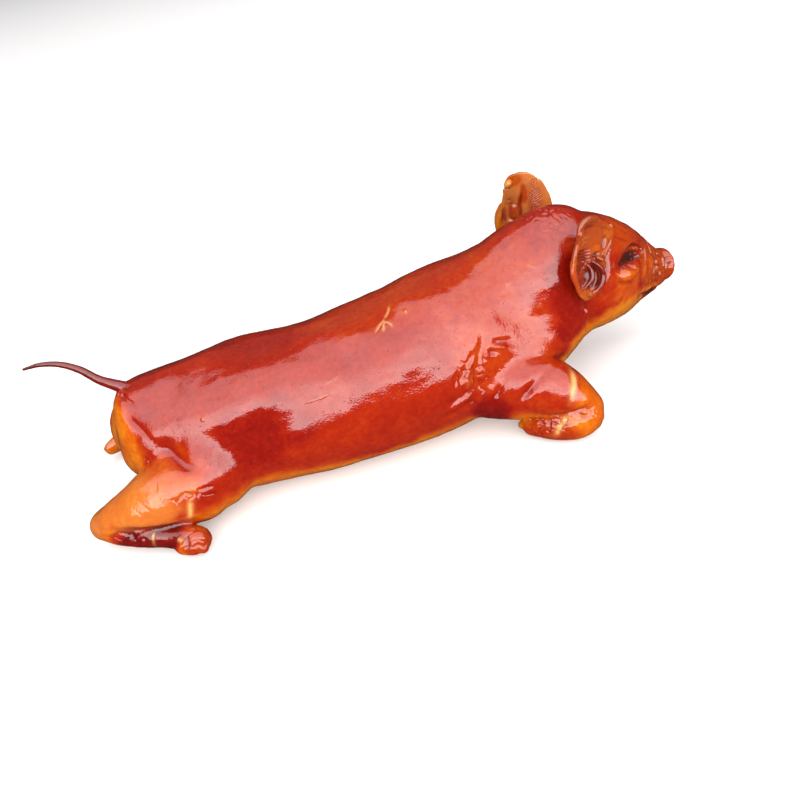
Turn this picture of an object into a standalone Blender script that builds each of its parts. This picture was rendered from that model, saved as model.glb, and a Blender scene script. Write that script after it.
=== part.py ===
"""A roast suckling pig, lying on its belly with its four legs folded under it.

The whole animal is one solid. Its large masses are lofted and melted together first. Then
the feet, ears, snout and tail are joined on, and folds, hollows and creases are pressed in.
Last, it is thinned to a light mesh and made flat where it rests.

Metres, +Z up. +X runs towards the head, +Y to the pig's left. The origin is on the surface
that the pig rests on, under the middle of its box.
"""
import math

import bmesh
import bpy
import numpy as np
from mathutils import Vector
from mathutils.bvhtree import BVHTree

# ---------------------------------------------------------------- driving dimensions
NAME = "suckling_pig"
ORIGIN = Vector((-0.0003, -0.0030, 0.0))
MASS_VOXEL = 0.0030
MASS_EASING = 12
FINE_VOXEL = 0.0013
FINE_EASING = 4
FINAL_TRIANGLES = 8600
FLAT_WITHIN = 0.0004
TRUNK_SIDES = 48
LIMB_SIDES = 24
LIMB_END_DEGREES = (80, 55, 30)
SKIN_COLOUR = (0.52, 0.045, 0.008, 1.0)
SKIN_ROUGHNESS = 0.22

# Trunk: x, y, z of the middle, half width, height above it, depth below it.
TRUNK = (
    (-0.229, -0.002, 0.079, 0.018, 0.020, 0.022),
    (-0.221, -0.003, 0.076, 0.035, 0.032, 0.036),
    (-0.200, -0.005, 0.068, 0.049, 0.043, 0.048),
    (-0.170, -0.009, 0.063, 0.057, 0.049, 0.056),
    (-0.130, -0.015, 0.062, 0.064, 0.055, 0.061),
    (-0.080, -0.019, 0.061, 0.067, 0.0565, 0.062),
    (-0.030, -0.020, 0.062, 0.069, 0.0585, 0.063),
    (0.020, -0.018, 0.065, 0.071, 0.064, 0.065),
    (0.065, -0.012, 0.070, 0.070, 0.065, 0.065),
    (0.105, -0.006, 0.077, 0.066, 0.063, 0.063),
    (0.140, -0.004, 0.085, 0.059, 0.065, 0.060),
    (0.165, -0.002, 0.090, 0.051, 0.066, 0.055),
    (0.185, 0.000, 0.089, 0.043, 0.060, 0.049),
    (0.205, 0.004, 0.084, 0.030, 0.036, 0.036),
)
BELLY_SQUARENESS = 2.6

# Head: distance back from the snout's face, half width, height above the axis, depth below it.
SNOUT = Vector((0.2825, 0.0250, 0.0590))
HEAD_YAW = math.radians(16)
HEAD_PITCH = math.radians(17)
HEAD_SQUARENESS = 2.2
JOWL_WIDENING = 0.12
HEAD = (
    (0.000, 0.0120, 0.0110, 0.0110),
    (0.006, 0.0155, 0.0145, 0.0195),
    (0.014, 0.0170, 0.0170, 0.0255),
    (0.028, 0.0205, 0.0245, 0.0300),
    (0.043, 0.0275, 0.0340, 0.0340),
    (0.062, 0.0370, 0.0435, 0.0400),
    (0.082, 0.0440, 0.0510, 0.0450),
    (0.102, 0.0470, 0.0550, 0.0480),
    (0.122, 0.0450, 0.0520, 0.0450),
    (0.142, 0.0300, 0.0320, 0.0320),
)
SNOUT_RIM = (
    (-0.0010, 0.0110, 0.0100, 0.0100),
    (0.0000, 0.0150, 0.0136, 0.0140),
    (0.0020, 0.0172, 0.0152, 0.0158),
    (0.0045, 0.0166, 0.0148, 0.0154),
    (0.0090, 0.0130, 0.0120, 0.0120),
)
NOSTRIL_FROM_MIDDLE = 0.0062
NOSTRIL_HALF_HEIGHT = 0.0020
NOSTRIL_WIDTH = 0.0030
NOSTRIL_DEPTH = 0.0065

# Limbs of the pig's right side: x, y, z of the middle and the radius. The left side mirrors
# the ham and the front leg. Its other rows are its own, as its hock lies further back.
LEFT_SIDE_SHIFT = 0.006
HAM = (
    (-0.150, -0.020, 0.056, 0.043),
    (-0.158, -0.042, 0.049, 0.041),
    (-0.166, -0.058, 0.042, 0.037),
    (-0.176, -0.068, 0.037, 0.031),
)
BUTTOCKS = (
    ((-0.188, -0.018, 0.060, 0.038), (-0.201, -0.019, 0.055, 0.034)),
    ((-0.192, 0.010, 0.060, 0.039), (-0.207, 0.012, 0.055, 0.037)),
)
RIGHT_GASKIN = (
    (-0.160, -0.058, 0.042, 0.035),
    (-0.190, -0.068, 0.037, 0.031),
    (-0.220, -0.070, 0.031, 0.025),
    (-0.245, -0.067, 0.025, 0.018),
    (-0.259, -0.063, 0.020, 0.0135),
)
RIGHT_HIND_SHANK = (
    (-0.258, -0.063, 0.0185, 0.0120),
    (-0.246, -0.074, 0.0165, 0.0110),
    (-0.226, -0.085, 0.0155, 0.0100),
    (-0.206, -0.094, 0.0135, 0.0095),
    (-0.194, -0.100, 0.0120, 0.0110),
    (-0.186, -0.104, 0.0110, 0.0105),
)
LEFT_GASKIN = (
    (-0.160, 0.048, 0.040, 0.034),
    (-0.190, 0.058, 0.034, 0.029),
    (-0.220, 0.062, 0.028, 0.021),
    (-0.246, 0.060, 0.022, 0.0125),
    (-0.269, 0.055, 0.0185, 0.0080),
)
LEFT_HIND_SHANK = (
    (-0.268, 0.056, 0.0165, 0.0075),
    (-0.250, 0.067, 0.0135, 0.0090),
    (-0.228, 0.079, 0.0120, 0.0095),
    (-0.208, 0.087, 0.0110, 0.0095),
    (-0.196, 0.093, 0.0115, 0.0110),
    (-0.188, 0.097, 0.0110, 0.0105),
)
ARM = (
    (0.075, -0.030, 0.077, 0.045),
    (0.072, -0.046, 0.058, 0.039),
    (0.078, -0.060, 0.045, 0.031),
    (0.095, -0.073, 0.038, 0.025),
)
FOREARM = (
    (0.078, -0.062, 0.047, 0.0265),
    (0.100, -0.077, 0.043, 0.0235),
    (0.120, -0.088, 0.038, 0.0215),
    (0.136, -0.096, 0.030, 0.0195),
    (0.145, -0.100, 0.022, 0.0170),
)
FORE_SHANK = (
    (0.143, -0.103, 0.018, 0.0165),
    (0.134, -0.106, 0.0145, 0.0145),
    (0.122, -0.102, 0.0130, 0.0130),
    (0.112, -0.095, 0.0125, 0.0120),
    (0.103, -0.089, 0.0110, 0.0095),
)
TOES = (
    ((-0.198, -0.1045, 0.0102, 0.0078), (-0.189, -0.109, 0.0092, 0.0070), (-0.1835, -0.1120, 0.0078, 0.0045)),
    ((-0.196, -0.0960, 0.0115, 0.0078), (-0.186, -0.1005, 0.0108, 0.0070), (-0.180, -0.1035, 0.0090, 0.0045)),
    ((0.111, -0.0990, 0.0118, 0.0080), (0.102, -0.0930, 0.0104, 0.0070), (0.0950, -0.0885, 0.0085, 0.0042)),
    ((0.106, -0.0890, 0.0125, 0.0080), (0.097, -0.0830, 0.0110, 0.0070), (0.0905, -0.0785, 0.0088, 0.0042)),
)
TAIL = (
    (-0.208, -0.002, 0.098, 0.0080),
    (-0.2185, 0.000, 0.1065, 0.0048),
    (-0.231, 0.003, 0.1150, 0.0036),
    (-0.243, 0.008, 0.1260, 0.0031),
    (-0.257, 0.013, 0.1330, 0.0025),
    (-0.273, 0.018, 0.1350, 0.0019),
    (-0.288, 0.022, 0.1330, 0.0013),
)

# Ears: x, y, z of the middle of a rib, its half width along the skin, and its bend in radians.
EAR_THICKNESS = 0.0038
EAR_HALF_RIB_STEPS = 9
EDGE_ROLL_STARTS = 0.7
RIGHT_EAR_FACE = Vector((0.25, -0.93, 0.25))
RIGHT_EAR_ROLL = 0.9
RIGHT_EAR = (
    (0.1790, -0.046, 0.0970, 0.008, 0.3),
    (0.1755, -0.050, 0.1015, 0.0150, 0.6),
    (0.1740, -0.052, 0.1085, 0.0205, 0.8),
    (0.1745, -0.051, 0.1190, 0.0220, 1.0),
    (0.1770, -0.049, 0.1310, 0.0205, 1.0),
    (0.1785, -0.049, 0.1420, 0.0220, 0.9),
    (0.1785, -0.051, 0.1510, 0.0230, 0.8),
    (0.1780, -0.053, 0.1565, 0.0205, 0.6),
    (0.1775, -0.054, 0.1600, 0.0130, 0.4),
)
RIGHT_EAR_ROOT = (
    (0.1810, -0.046, 0.1030, 0.0100),
    (0.1800, -0.046, 0.1130, 0.0110),
    (0.1790, -0.044, 0.1240, 0.0090),
)
RIGHT_EAR_FOLDS = (
    ((0.1780, -0.0555, 0.1240, 0.0030), (0.1735, -0.0590, 0.1150, 0.0040), (0.1760, -0.0590, 0.1055, 0.0032)),
    ((0.1865, -0.0545, 0.1240, 0.0030), (0.1880, -0.0580, 0.1150, 0.0042), (0.1835, -0.0590, 0.1040, 0.0034)),
)
LEFT_EAR_FACE = Vector((0.40, 0.90, 0.10))
LEFT_EAR_ROLL = 0.2
LEFT_EAR = (
    (0.1600, 0.036, 0.0980, 0.020, 0.9),
    (0.1585, 0.042, 0.1160, 0.030, 0.9),
    (0.1585, 0.046, 0.1320, 0.029, 0.8),
    (0.1610, 0.048, 0.1480, 0.0235, 0.7),
    (0.1600, 0.048, 0.1610, 0.0165, 0.5),
    (0.1560, 0.047, 0.1690, 0.0100, 0.4),
    (0.1540, 0.046, 0.1715, 0.0050, 0.3),
)

# Marks pressed into the skin: width and depth (a ridge has a negative depth), then the path.
# On the trunk a place is (x, degrees up from the pig's right side), and on the head it is
# (distance back from the snout's face, degrees up from its right side).
MARK_REACH = 3.0
MARK_END_LENGTH = 0.3
MARK_END_DEPTH = 0.15
RAY_START_OUTSIDE_TRUNK = 0.09
RAY_START_OUTSIDE_HEAD = 0.006
TRUNK_MARKS = {
    "groove between rump and ham": (0.015, 0.0030, ((-0.216, 40), (-0.197, 14), (-0.176, -2), (-0.158, -8))),
    "groove on the left": (0.015, 0.0030, ((-0.214, 140), (-0.197, 166), (-0.176, 182))),
    "crease beside the tail": (0.0025, 0.0020, ((-0.217, 76), (-0.212, 62), (-0.206, 50))),
    "hollow behind the shoulder": (0.012, 0.0045, ((0.036, 70), (0.048, 40), (0.052, 10), (0.050, -12))),
    "hollow on the left": (0.012, 0.0045, ((0.036, 110), (0.048, 140), (0.052, 170), (0.050, 192))),
    "fold of the shoulder": (0.0045, 0.0022, ((0.058, 46), (0.061, 20), (0.066, 0), (0.064, -14))),
}
HEAD_MARKS = {
    "mouth": (0.0022, 0.0042, ((0.006, -88), (0.012, -58), (0.022, -40), (0.036, -27), (0.052, -17),
                               (0.064, -12))),
    "eye hollow": (0.0070, 0.0062, ((0.092, 36), (0.076, 41), (0.058, 46))),
    "eye slit": (0.0024, 0.0046, ((0.094, 34), (0.076, 40), (0.056, 46))),
    "bag under the eye": (0.0055, -0.0048, ((0.096, 24), (0.080, 26), (0.064, 31))),
    "crease behind the jaw": (0.0030, 0.0032, ((0.140, 2), (0.130, -18), (0.121, -34), (0.115, -56))),
}
SNOUT_WRINKLE = (0.0025, 0.0016, ((0.028, -5), (0.030, 40), (0.031, 90), (0.030, 140), (0.028, 185)))
# On the legs a place is x, y, z on the right leg. The left leg has the same marks.
LEG_MARKS = {
    "between shoulder and forearm": (0.0050, 0.0055, ((0.141, -0.060, 0.055), (0.119, -0.084, 0.062),
                                                      (0.104, -0.096, 0.058), (0.089, -0.098, 0.044))),
    "between forearm and foot": (0.0030, 0.0034, ((0.099, -0.100, 0.030), (0.117, -0.107, 0.030),
                                                  (0.133, -0.113, 0.032), (0.148, -0.112, 0.033))),
    "between gaskin and shank": (0.0030, 0.0028, ((-0.250, -0.082, 0.028), (-0.228, -0.091, 0.028),
                                                  (-0.205, -0.096, 0.026), (-0.178, -0.098, 0.025))),
}


# ---------------------------------------------------------------- helpers
def clear_scene():
    for thing in list(bpy.data.objects):
        bpy.data.objects.remove(thing, do_unlink=True)


def eased(rows, steps=8):
    """A smooth run of rows through the given ones (Catmull-Rom)."""
    rows = np.array(rows, dtype=float)
    line = np.vstack([2 * rows[0] - rows[1], rows, 2 * rows[-1] - rows[-2]])
    out = []
    for i in range(len(rows) - 1):
        a, b, c, d = line[i:i + 4]
        for t in np.arange(steps) / steps:
            out.append(0.5 * (2 * b + (c - a) * t + (2 * a - 5 * b + 4 * c - d) * t ** 2
                              + (3 * b - 3 * c + d - a) * t ** 3))
    out.append(rows[-1])
    return np.array(out)


def loft(bm, rings):
    """Closes a run of rings, each a list of points, into one skin with its ends capped."""
    rows = [[bm.verts.new(p) for p in ring] for ring in rings]
    count = len(rows[0])
    for a, b in zip(rows, rows[1:]):
        for i in range(count):
            j = (i + 1) % count
            bm.faces.new((a[i], a[j], b[j], b[i]))
    bm.faces.new(rows[0][::-1])
    bm.faces.new(rows[-1])


def oval(middle, side, up, half_width, above, below, square=2.0, egg=0.0, count=TRUNK_SIDES):
    """One ring: an oval with its own height and depth, squarer and wider below."""
    ring = []
    for k in range(count):
        turn = 2 * math.pi * k / count
        c = math.cos(turn)
        s = math.sin(turn)
        power = 2.0 if s > 0 else square
        reach = (abs(c) ** power + abs(s) ** power) ** (-1 / power)
        height = above if s > 0 else below
        ring.append(middle + side * (half_width * c * reach * (1 - egg * s)) + up * (height * s * reach))
    return ring


def tube(bm, rows, steps=6):
    """A limb: a round section of changing radius along a curved line, with round ends."""
    run = eased(rows, steps)
    points = [Vector(r[:3]) for r in run]
    radii = [r[3] for r in run]
    start = (points[0] - points[1]).normalized()
    end = (points[-1] - points[-2]).normalized()
    dome = [math.radians(a) for a in LIMB_END_DEGREES]
    path = [(points[0] + start * radii[0] * math.sin(a), radii[0] * math.cos(a)) for a in dome]
    path += list(zip(points, radii))
    path += [(points[-1] + end * radii[-1] * math.sin(a), radii[-1] * math.cos(a)) for a in dome[::-1]]
    rings = []
    for i, (p, r) in enumerate(path):
        ahead = path[min(i + 1, len(path) - 1)][0] - path[max(i - 1, 0)][0]
        side = ahead.cross(Vector((0, 0, 1))).normalized()
        up = side.cross(ahead).normalized()
        rings.append(oval(p, side, up, r, r, r, count=LIMB_SIDES))
    loft(bm, rings)


def left_side(rows):
    """The same limb on the pig's left, a little closer in because the trunk is bowed."""
    return [(r[0], -r[1] - LEFT_SIDE_SHIFT, *r[2:]) for r in rows]


def shell(bm, rows, face, roll):
    """An ear: ribs bent across its length, hollow towards `face`, with edges that roll in."""
    run = eased(rows, 5)
    rings = []
    for i, (x, y, z, half, bend) in enumerate(run):
        along = Vector(run[min(i + 1, len(run) - 1)][:3] - run[max(i - 1, 0)][:3]).normalized()
        across = along.cross(face).normalized()
        out = across.cross(along)
        step = half / EAR_HALF_RIB_STEPS
        wing = [(0.0, 0.0, 0.0)]
        for k in range(EAR_HALF_RIB_STEPS):
            u = (k + 0.5) / EAR_HALF_RIB_STEPS
            curl = max(0.0, (u - EDGE_ROLL_STARTS) / (1 - EDGE_ROLL_STARTS))
            heading = bend * u + roll * curl ** 2
            a, o, _ = wing[-1]
            wing.append((a + step * math.cos(heading), o + step * math.sin(heading), heading))
        strip = [(-a, o, -h) for a, o, h in wing[:0:-1]] + wing
        middle = Vector((x, y, z))
        ring = []
        for run_of_rib, off in ((strip, EAR_THICKNESS / 2), (strip[::-1], -EAR_THICKNESS / 2)):
            for a, o, h in run_of_rib:
                inward = out * math.cos(h) - across * math.sin(h)
                ring.append(middle + across * a + out * o + inward * off)
        rings.append(ring)
    loft(bm, rings)


def evaluated(mesh, *modifiers):
    """The mesh as it is after modifiers, each given as a type and its settings."""
    holder = bpy.data.objects.new("holder", mesh)
    bpy.context.scene.collection.objects.link(holder)
    for kind, settings in modifiers:
        modifier = holder.modifiers.new(kind.title(), kind)
        for key, value in settings.items():
            setattr(modifier, key, value)
    result = bpy.data.meshes.new_from_object(holder.evaluated_get(bpy.context.evaluated_depsgraph_get()))
    bpy.data.objects.remove(holder)
    return result


def settle(bm, voxel, easing):
    """Melts overlapping closed skins into one and eases it; returns the new mesh."""
    mesh = bpy.data.meshes.new(NAME)
    bmesh.ops.recalc_face_normals(bm, faces=bm.faces)
    bm.to_mesh(mesh)
    bm.free()
    return evaluated(mesh, ("REMESH", {"mode": "VOXEL", "voxel_size": voxel}),
                     ("SMOOTH", {"factor": 0.5, "iterations": easing}))


# ---------------------------------------------------------------- forms
def head_axes():
    flat = math.cos(HEAD_PITCH)
    ahead = Vector((flat * math.cos(HEAD_YAW), flat * math.sin(HEAD_YAW), -math.sin(HEAD_PITCH)))
    left = Vector((-math.sin(HEAD_YAW), math.cos(HEAD_YAW), 0))
    return ahead, left, ahead.cross(left)


def add_trunk(bm):
    run = eased(TRUNK)
    rings = []
    for i, row in enumerate(run):
        ahead = Vector(run[min(i + 1, len(run) - 1)][:3] - run[max(i - 1, 0)][:3])
        ahead.z *= 0.5
        ahead.normalize()
        side = Vector((0, 0, 1)).cross(ahead).normalized()
        up = ahead.cross(side)
        rings.append(oval(Vector(row[:3]), side, up, row[3], row[4], row[5], BELLY_SQUARENESS))
    loft(bm, rings)


def add_along_head(bm, rows, square=2.0, egg=0.0):
    ahead, left, up = head_axes()
    rings = []
    for back, half_width, above, below in eased(rows):
        rings.append(oval(SNOUT - ahead * back, left, up, half_width, above, below, square, egg))
    loft(bm, rings)


def masses():
    bm = bmesh.new()
    add_trunk(bm)
    add_along_head(bm, HEAD, HEAD_SQUARENESS, JOWL_WIDENING)
    for rows in (HAM, ARM, FOREARM):
        tube(bm, rows)
        tube(bm, left_side(rows))
    for rows in (*BUTTOCKS, RIGHT_GASKIN, LEFT_GASKIN):
        tube(bm, rows)
    return settle(bm, MASS_VOXEL, MASS_EASING)


def add_feet_and_tail(bm):
    for rows in (FORE_SHANK, *TOES):
        tube(bm, rows)
        tube(bm, left_side(rows))
    for rows in (RIGHT_HIND_SHANK, LEFT_HIND_SHANK, TAIL):
        tube(bm, rows)


def add_ears(bm):
    shell(bm, RIGHT_EAR, RIGHT_EAR_FACE, RIGHT_EAR_ROLL)
    for rows in (RIGHT_EAR_ROOT, *RIGHT_EAR_FOLDS):
        tube(bm, rows)
    shell(bm, LEFT_EAR, LEFT_EAR_FACE, LEFT_EAR_ROLL)


class Skin:
    """The mesh's points, with ways to find a place on the skin and to press a mark there."""

    def __init__(self, mesh):
        self.mesh = mesh
        count = len(mesh.vertices)
        self.points = np.empty(count * 3)
        mesh.vertices.foreach_get("co", self.points)
        self.points = self.points.reshape(-1, 3)
        self.normals = np.empty(count * 3)
        mesh.vertices.foreach_get("normal", self.normals)
        self.normals = self.normals.reshape(-1, 3)
        self.tree = BVHTree.FromPolygons(self.points.tolist(), [f.vertices for f in mesh.polygons])
        self.spine = eased(TRUNK)

    def met_from_outside(self, start, direction, reach):
        hit = self.tree.ray_cast(start + direction * reach, -direction)[0]
        return hit if hit is not None else start

    def on_trunk(self, x, degrees):
        y = np.interp(x, self.spine[:, 0], self.spine[:, 1])
        z = np.interp(x, self.spine[:, 0], self.spine[:, 2])
        turn = math.radians(degrees)
        direction = Vector((0, -math.cos(turn), math.sin(turn)))
        return self.met_from_outside(Vector((x, y, z)), direction, RAY_START_OUTSIDE_TRUNK)

    def on_head(self, back, degrees):
        ahead, left, up = head_axes()
        turn = math.radians(degrees)
        direction = up * math.sin(turn) - left * math.cos(turn)
        reach = np.interp(back, [row[0] for row in HEAD], [max(row[1:]) for row in HEAD])
        return self.met_from_outside(SNOUT - ahead * back, direction, reach + RAY_START_OUTSIDE_HEAD)

    def press(self, path, width, depth):
        """Presses a soft groove of the given width along a path, shallower at its ends."""
        line = np.array([tuple(p) for p in path])
        if len(line) > 2:
            line = eased(line, 6)
        low = line.min(0) - MARK_REACH * width
        high = line.max(0) + MARK_REACH * width
        near = np.where(((self.points > low) & (self.points < high)).all(1))[0]
        here = self.points[near]
        a = line[:-1]
        span = line[1:] - a
        t = np.clip(((here[:, None] - a) * span).sum(2) / (span ** 2).sum(1), 0, 1)
        gap = np.linalg.norm(here[:, None] - (a + t[..., None] * span), axis=2)
        best = gap.argmin(1)
        along = (best + t[np.arange(len(near)), best]) / len(a)
        rise = np.clip(np.minimum(along, 1 - along) / MARK_END_LENGTH, 0, 1)
        strength = MARK_END_DEPTH + (1 - MARK_END_DEPTH) * rise ** 2 * (3 - 2 * rise)
        amount = depth * strength * np.exp(-(gap.min(1) / width) ** 2)
        self.points[near] -= self.normals[near] * amount[:, None]

    def write_back(self):
        self.mesh.vertices.foreach_set("co", self.points.ravel())
        self.mesh.update()


def press_marks(skin):
    for width, depth, path in TRUNK_MARKS.values():
        skin.press([skin.on_trunk(*place) for place in path], width, depth)
    for width, depth, path in HEAD_MARKS.values():
        skin.press([skin.on_head(*place) for place in path], width, depth)
        skin.press([skin.on_head(back, 180 - degrees) for back, degrees in path], width, depth)
    width, depth, path = SNOUT_WRINKLE
    skin.press([skin.on_head(*place) for place in path], width, depth)
    for width, depth, path in LEG_MARKS.values():
        skin.press(path, width, depth)
        skin.press(left_side(path), width, depth)


def press_nostrils(skin):
    ahead, left, up = head_axes()
    for side in (-1, 1):
        middle = SNOUT + left * (NOSTRIL_FROM_MIDDLE * side)
        path = [middle + up * (NOSTRIL_HALF_HEIGHT * step) for step in (-1, 1)]
        skin.press(path, NOSTRIL_WIDTH, NOSTRIL_DEPTH)


def thin_and_rest(mesh):
    """Thins the mesh, makes it flat where it rests and puts the origin under its middle."""
    mesh.calc_loop_triangles()
    ratio = FINAL_TRIANGLES / len(mesh.loop_triangles)
    thinned = evaluated(mesh, ("DECIMATE", {"ratio": ratio, "use_collapse_triangulate": True}))
    for vertex in thinned.vertices:
        vertex.co -= ORIGIN
        if vertex.co.z < FLAT_WITHIN:
            vertex.co.z = 0.0
    return thinned


def skin_material():
    material = bpy.data.materials.new("glazed_skin")
    material.use_nodes = True
    shader = material.node_tree.nodes["Principled BSDF"]
    shader.inputs["Base Color"].default_value = SKIN_COLOUR
    shader.inputs["Roughness"].default_value = SKIN_ROUGHNESS
    shader.inputs["Metallic"].default_value = 0.0
    return material


def build_pig():
    bm = bmesh.new()
    bm.from_mesh(masses())
    add_feet_and_tail(bm)
    add_along_head(bm, SNOUT_RIM)
    add_ears(bm)
    skin = Skin(settle(bm, FINE_VOXEL, FINE_EASING))
    press_marks(skin)
    press_nostrils(skin)
    skin.points[:, 2] = np.maximum(skin.points[:, 2], 0.0)
    skin.write_back()
    mesh = thin_and_rest(skin.mesh)
    mesh.name = NAME
    mesh.materials.clear()
    mesh.materials.append(skin_material())
    mesh.shade_smooth()
    collection = bpy.data.collections.new(NAME)
    bpy.context.scene.collection.children.link(collection)
    pig = bpy.data.objects.new(NAME, mesh)
    collection.objects.link(pig)
    return pig


clear_scene()
pig = build_pig()
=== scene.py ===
# %% [markdown]
# # A roast suckling pig
#
# A small pig, roasted whole and glazed until its skin turns to red lacquer. It lies on its belly
# with its legs folded under it. Underneath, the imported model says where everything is. This
# script gives that model its looks: a finer skin with its folds and creases, two crumpled ears,
# a dried tail, and a glaze that is deep red on the flanks and golden where the skin is thin.
#
# +X runs towards the head, +Y to the pig's left, and +Z is up. Blender counts in metres, and so do
# the camera, the lamps, the floor, the voxels and the node trees here. Tables of places on the
# animal, and the sizes that its tools take, are in millimetres, which read better on so small a
# thing. Where a lone length could be either, a comment says which.

# %% The frame
import math

import bmesh
import bpy
import numpy as np
from mathutils import Matrix, Vector, noise
from mathutils.bvhtree import BVHTree


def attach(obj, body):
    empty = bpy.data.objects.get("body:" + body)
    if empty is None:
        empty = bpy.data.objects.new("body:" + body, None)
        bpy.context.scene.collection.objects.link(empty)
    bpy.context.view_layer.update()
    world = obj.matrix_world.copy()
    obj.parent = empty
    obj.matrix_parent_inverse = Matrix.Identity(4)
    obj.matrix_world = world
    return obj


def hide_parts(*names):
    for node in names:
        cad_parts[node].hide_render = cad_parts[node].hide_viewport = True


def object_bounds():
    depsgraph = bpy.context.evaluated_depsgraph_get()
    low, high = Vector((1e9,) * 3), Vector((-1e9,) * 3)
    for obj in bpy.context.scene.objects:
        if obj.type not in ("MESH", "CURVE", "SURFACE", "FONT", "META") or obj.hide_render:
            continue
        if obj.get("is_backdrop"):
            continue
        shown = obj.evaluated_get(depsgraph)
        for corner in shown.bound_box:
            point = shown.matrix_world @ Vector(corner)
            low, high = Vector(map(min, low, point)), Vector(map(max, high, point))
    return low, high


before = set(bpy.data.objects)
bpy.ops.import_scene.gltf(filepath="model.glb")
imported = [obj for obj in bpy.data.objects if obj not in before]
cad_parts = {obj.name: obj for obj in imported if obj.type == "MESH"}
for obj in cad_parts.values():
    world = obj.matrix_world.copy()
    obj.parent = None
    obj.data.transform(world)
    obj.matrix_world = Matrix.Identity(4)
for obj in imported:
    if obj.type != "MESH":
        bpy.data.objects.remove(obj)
cad_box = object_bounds()
BODY = "root"
NODE = "suckling_pig"
MM_PER_METRE = 1000.0


def metres(table):
    """Numbers given in millimetres, as an array in metres."""
    return np.array(table, dtype=float) / MM_PER_METRE


def shown(data, name):
    """An object made of the given data, put in the scene."""
    made = bpy.data.objects.new(name, data)
    bpy.context.scene.collection.objects.link(made)
    return made


print("the packed pig measures", [round(high - low, 4) for low, high in zip(*cad_box)])

# %% [markdown]
# ## The camera
#
# We look down on the pig's right side from close by, so that its head and its rump both turn
# away a little. The camera is also rolled, which makes the back climb across the picture. A
# camera in Blender looks along its own -Z, so we build its three axes and hand them over as
# the columns of a matrix.

# %% The camera
CAMERA_TURN = math.radians(-7.0)
CAMERA_RISE = math.radians(35.0)
CAMERA_ROLL = math.radians(12.5)
CAMERA_DISTANCE = 0.725
CAMERA_LENS = 36.9
CAMERA_SENSOR = 36.0
LOOK_AT = Vector((0.0053, -0.0200, 0.0280))


def direction(turn, rise):
    """The way from the pig to a place around it: 0 is in front of its right side."""
    return Vector((math.sin(turn) * math.cos(rise), -math.cos(turn) * math.cos(rise), math.sin(rise)))


def add_camera():
    back = direction(CAMERA_TURN, CAMERA_RISE)
    level = Vector((math.cos(CAMERA_TURN), math.sin(CAMERA_TURN), 0))
    raised = back.cross(level)
    right = level * math.cos(CAMERA_ROLL) - raised * math.sin(CAMERA_ROLL)
    up = level * math.sin(CAMERA_ROLL) + raised * math.cos(CAMERA_ROLL)
    lens = bpy.data.cameras.new("camera")
    lens.lens = CAMERA_LENS
    lens.sensor_width = CAMERA_SENSOR
    camera = shown(lens, "camera")
    turned = Matrix((right, up, back)).transposed().to_4x4()
    camera.matrix_world = Matrix.Translation(LOOK_AT + back * CAMERA_DISTANCE) @ turned
    bpy.context.scene.camera = camera
    return camera


camera = add_camera()
print("the camera stands at", [round(value, 3) for value in camera.matrix_world.translation])

# %% [markdown]
# ## Floor and light
#
# Glaze is a mirror more than it is a colour: most of what we see on the flank is a softbox. So
# the lights are placed by asking where the skin's reflections point. One wide softbox stands in
# front, above the camera, and its lower edge becomes the sharp edge of the highlight on the
# flank. A weaker one leans overhead and takes the highlight across the back. Both fade upwards,
# as the sky does above a window, and their cloth is a little uneven, so no highlight is flat. A
# third, very faint, stands behind. All else that the skin mirrors is kept dark: the surround is
# dim, and the pale floor is hidden from reflections, as a photographer would lay a black card in
# front of a polished thing. That leaves the red deep. The floor glows a little itself, as a light
# table does, and lifts the belly's edge.
#
# An area light is given in watts. What we want to choose is how bright it looks in the glaze,
# its radiance, so the helper turns the one into the other. A light can have shader nodes as a
# material can: Parametric says how far up the lamp a point is, and that drives the fading. A few
# small helpers add the nodes, which keeps every node tree below short.

# %% Softboxes
RIG_MIDDLE = Vector((0.0, 0.0, 0.07))
RIG_DISTANCE = 5.0
CLOUDS_ACROSS = 9.0
CLOUDINESS = 0.35
# A noise node's values run from 0 to 1 and nearly all lie between these.
MOST_OF_NOISE = (0.3, 0.7)
# Each softbox: degrees round, degrees up, width and height in metres, radiance at its lower edge,
# the share of it left at its upper edge, colour.
SOFTBOXES = {
    "front": (-2, 37, 14.0, 4.25, 5.8, 0.5, (1.0, 0.97, 0.96)),
    "overhead": (-3, 88, 13.0, 5.3, 2.9, 0.62, (0.97, 0.97, 1.0)),
    "behind": (180, 38, 11.0, 3.6, 0.13, 1.0, (0.95, 0.96, 1.0)),
}


def feed(tree, socket, value):
    """Sets a socket, or links it where the value is another node's output."""
    if isinstance(value, bpy.types.NodeSocket):
        tree.links.new(value, socket)
    else:
        socket.default_value = value


def put(tree, kind, settings=None, **inputs):
    """Adds a node. Each input is a value or the output socket that feeds it."""
    made = tree.nodes.new(kind)
    for key, value in (settings or {}).items():
        setattr(made, key, value)
    for key, value in inputs.items():
        feed(tree, made.inputs[key.replace("_", " ")], value)
    return made


def reckoned(tree, operation, first, second):
    """The output of a Math node on two numbers."""
    made = put(tree, "ShaderNodeMath", {"operation": operation})
    feed(tree, made.inputs[0], first)
    feed(tree, made.inputs[1], second)
    return made.outputs["Value"]


def clouds(tree, place, scale, low, high, **more):
    """The output of a noise that runs from low to high over a place."""
    cloud = put(tree, "ShaderNodeTexNoise", Vector=place, Scale=scale, **more)
    spread = put(tree, "ShaderNodeMapRange", Value=cloud.outputs["Fac"], From_Min=MOST_OF_NOISE[0],
                 From_Max=MOST_OF_NOISE[1], To_Min=low, To_Max=high)
    return spread.outputs["Result"]


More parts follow.
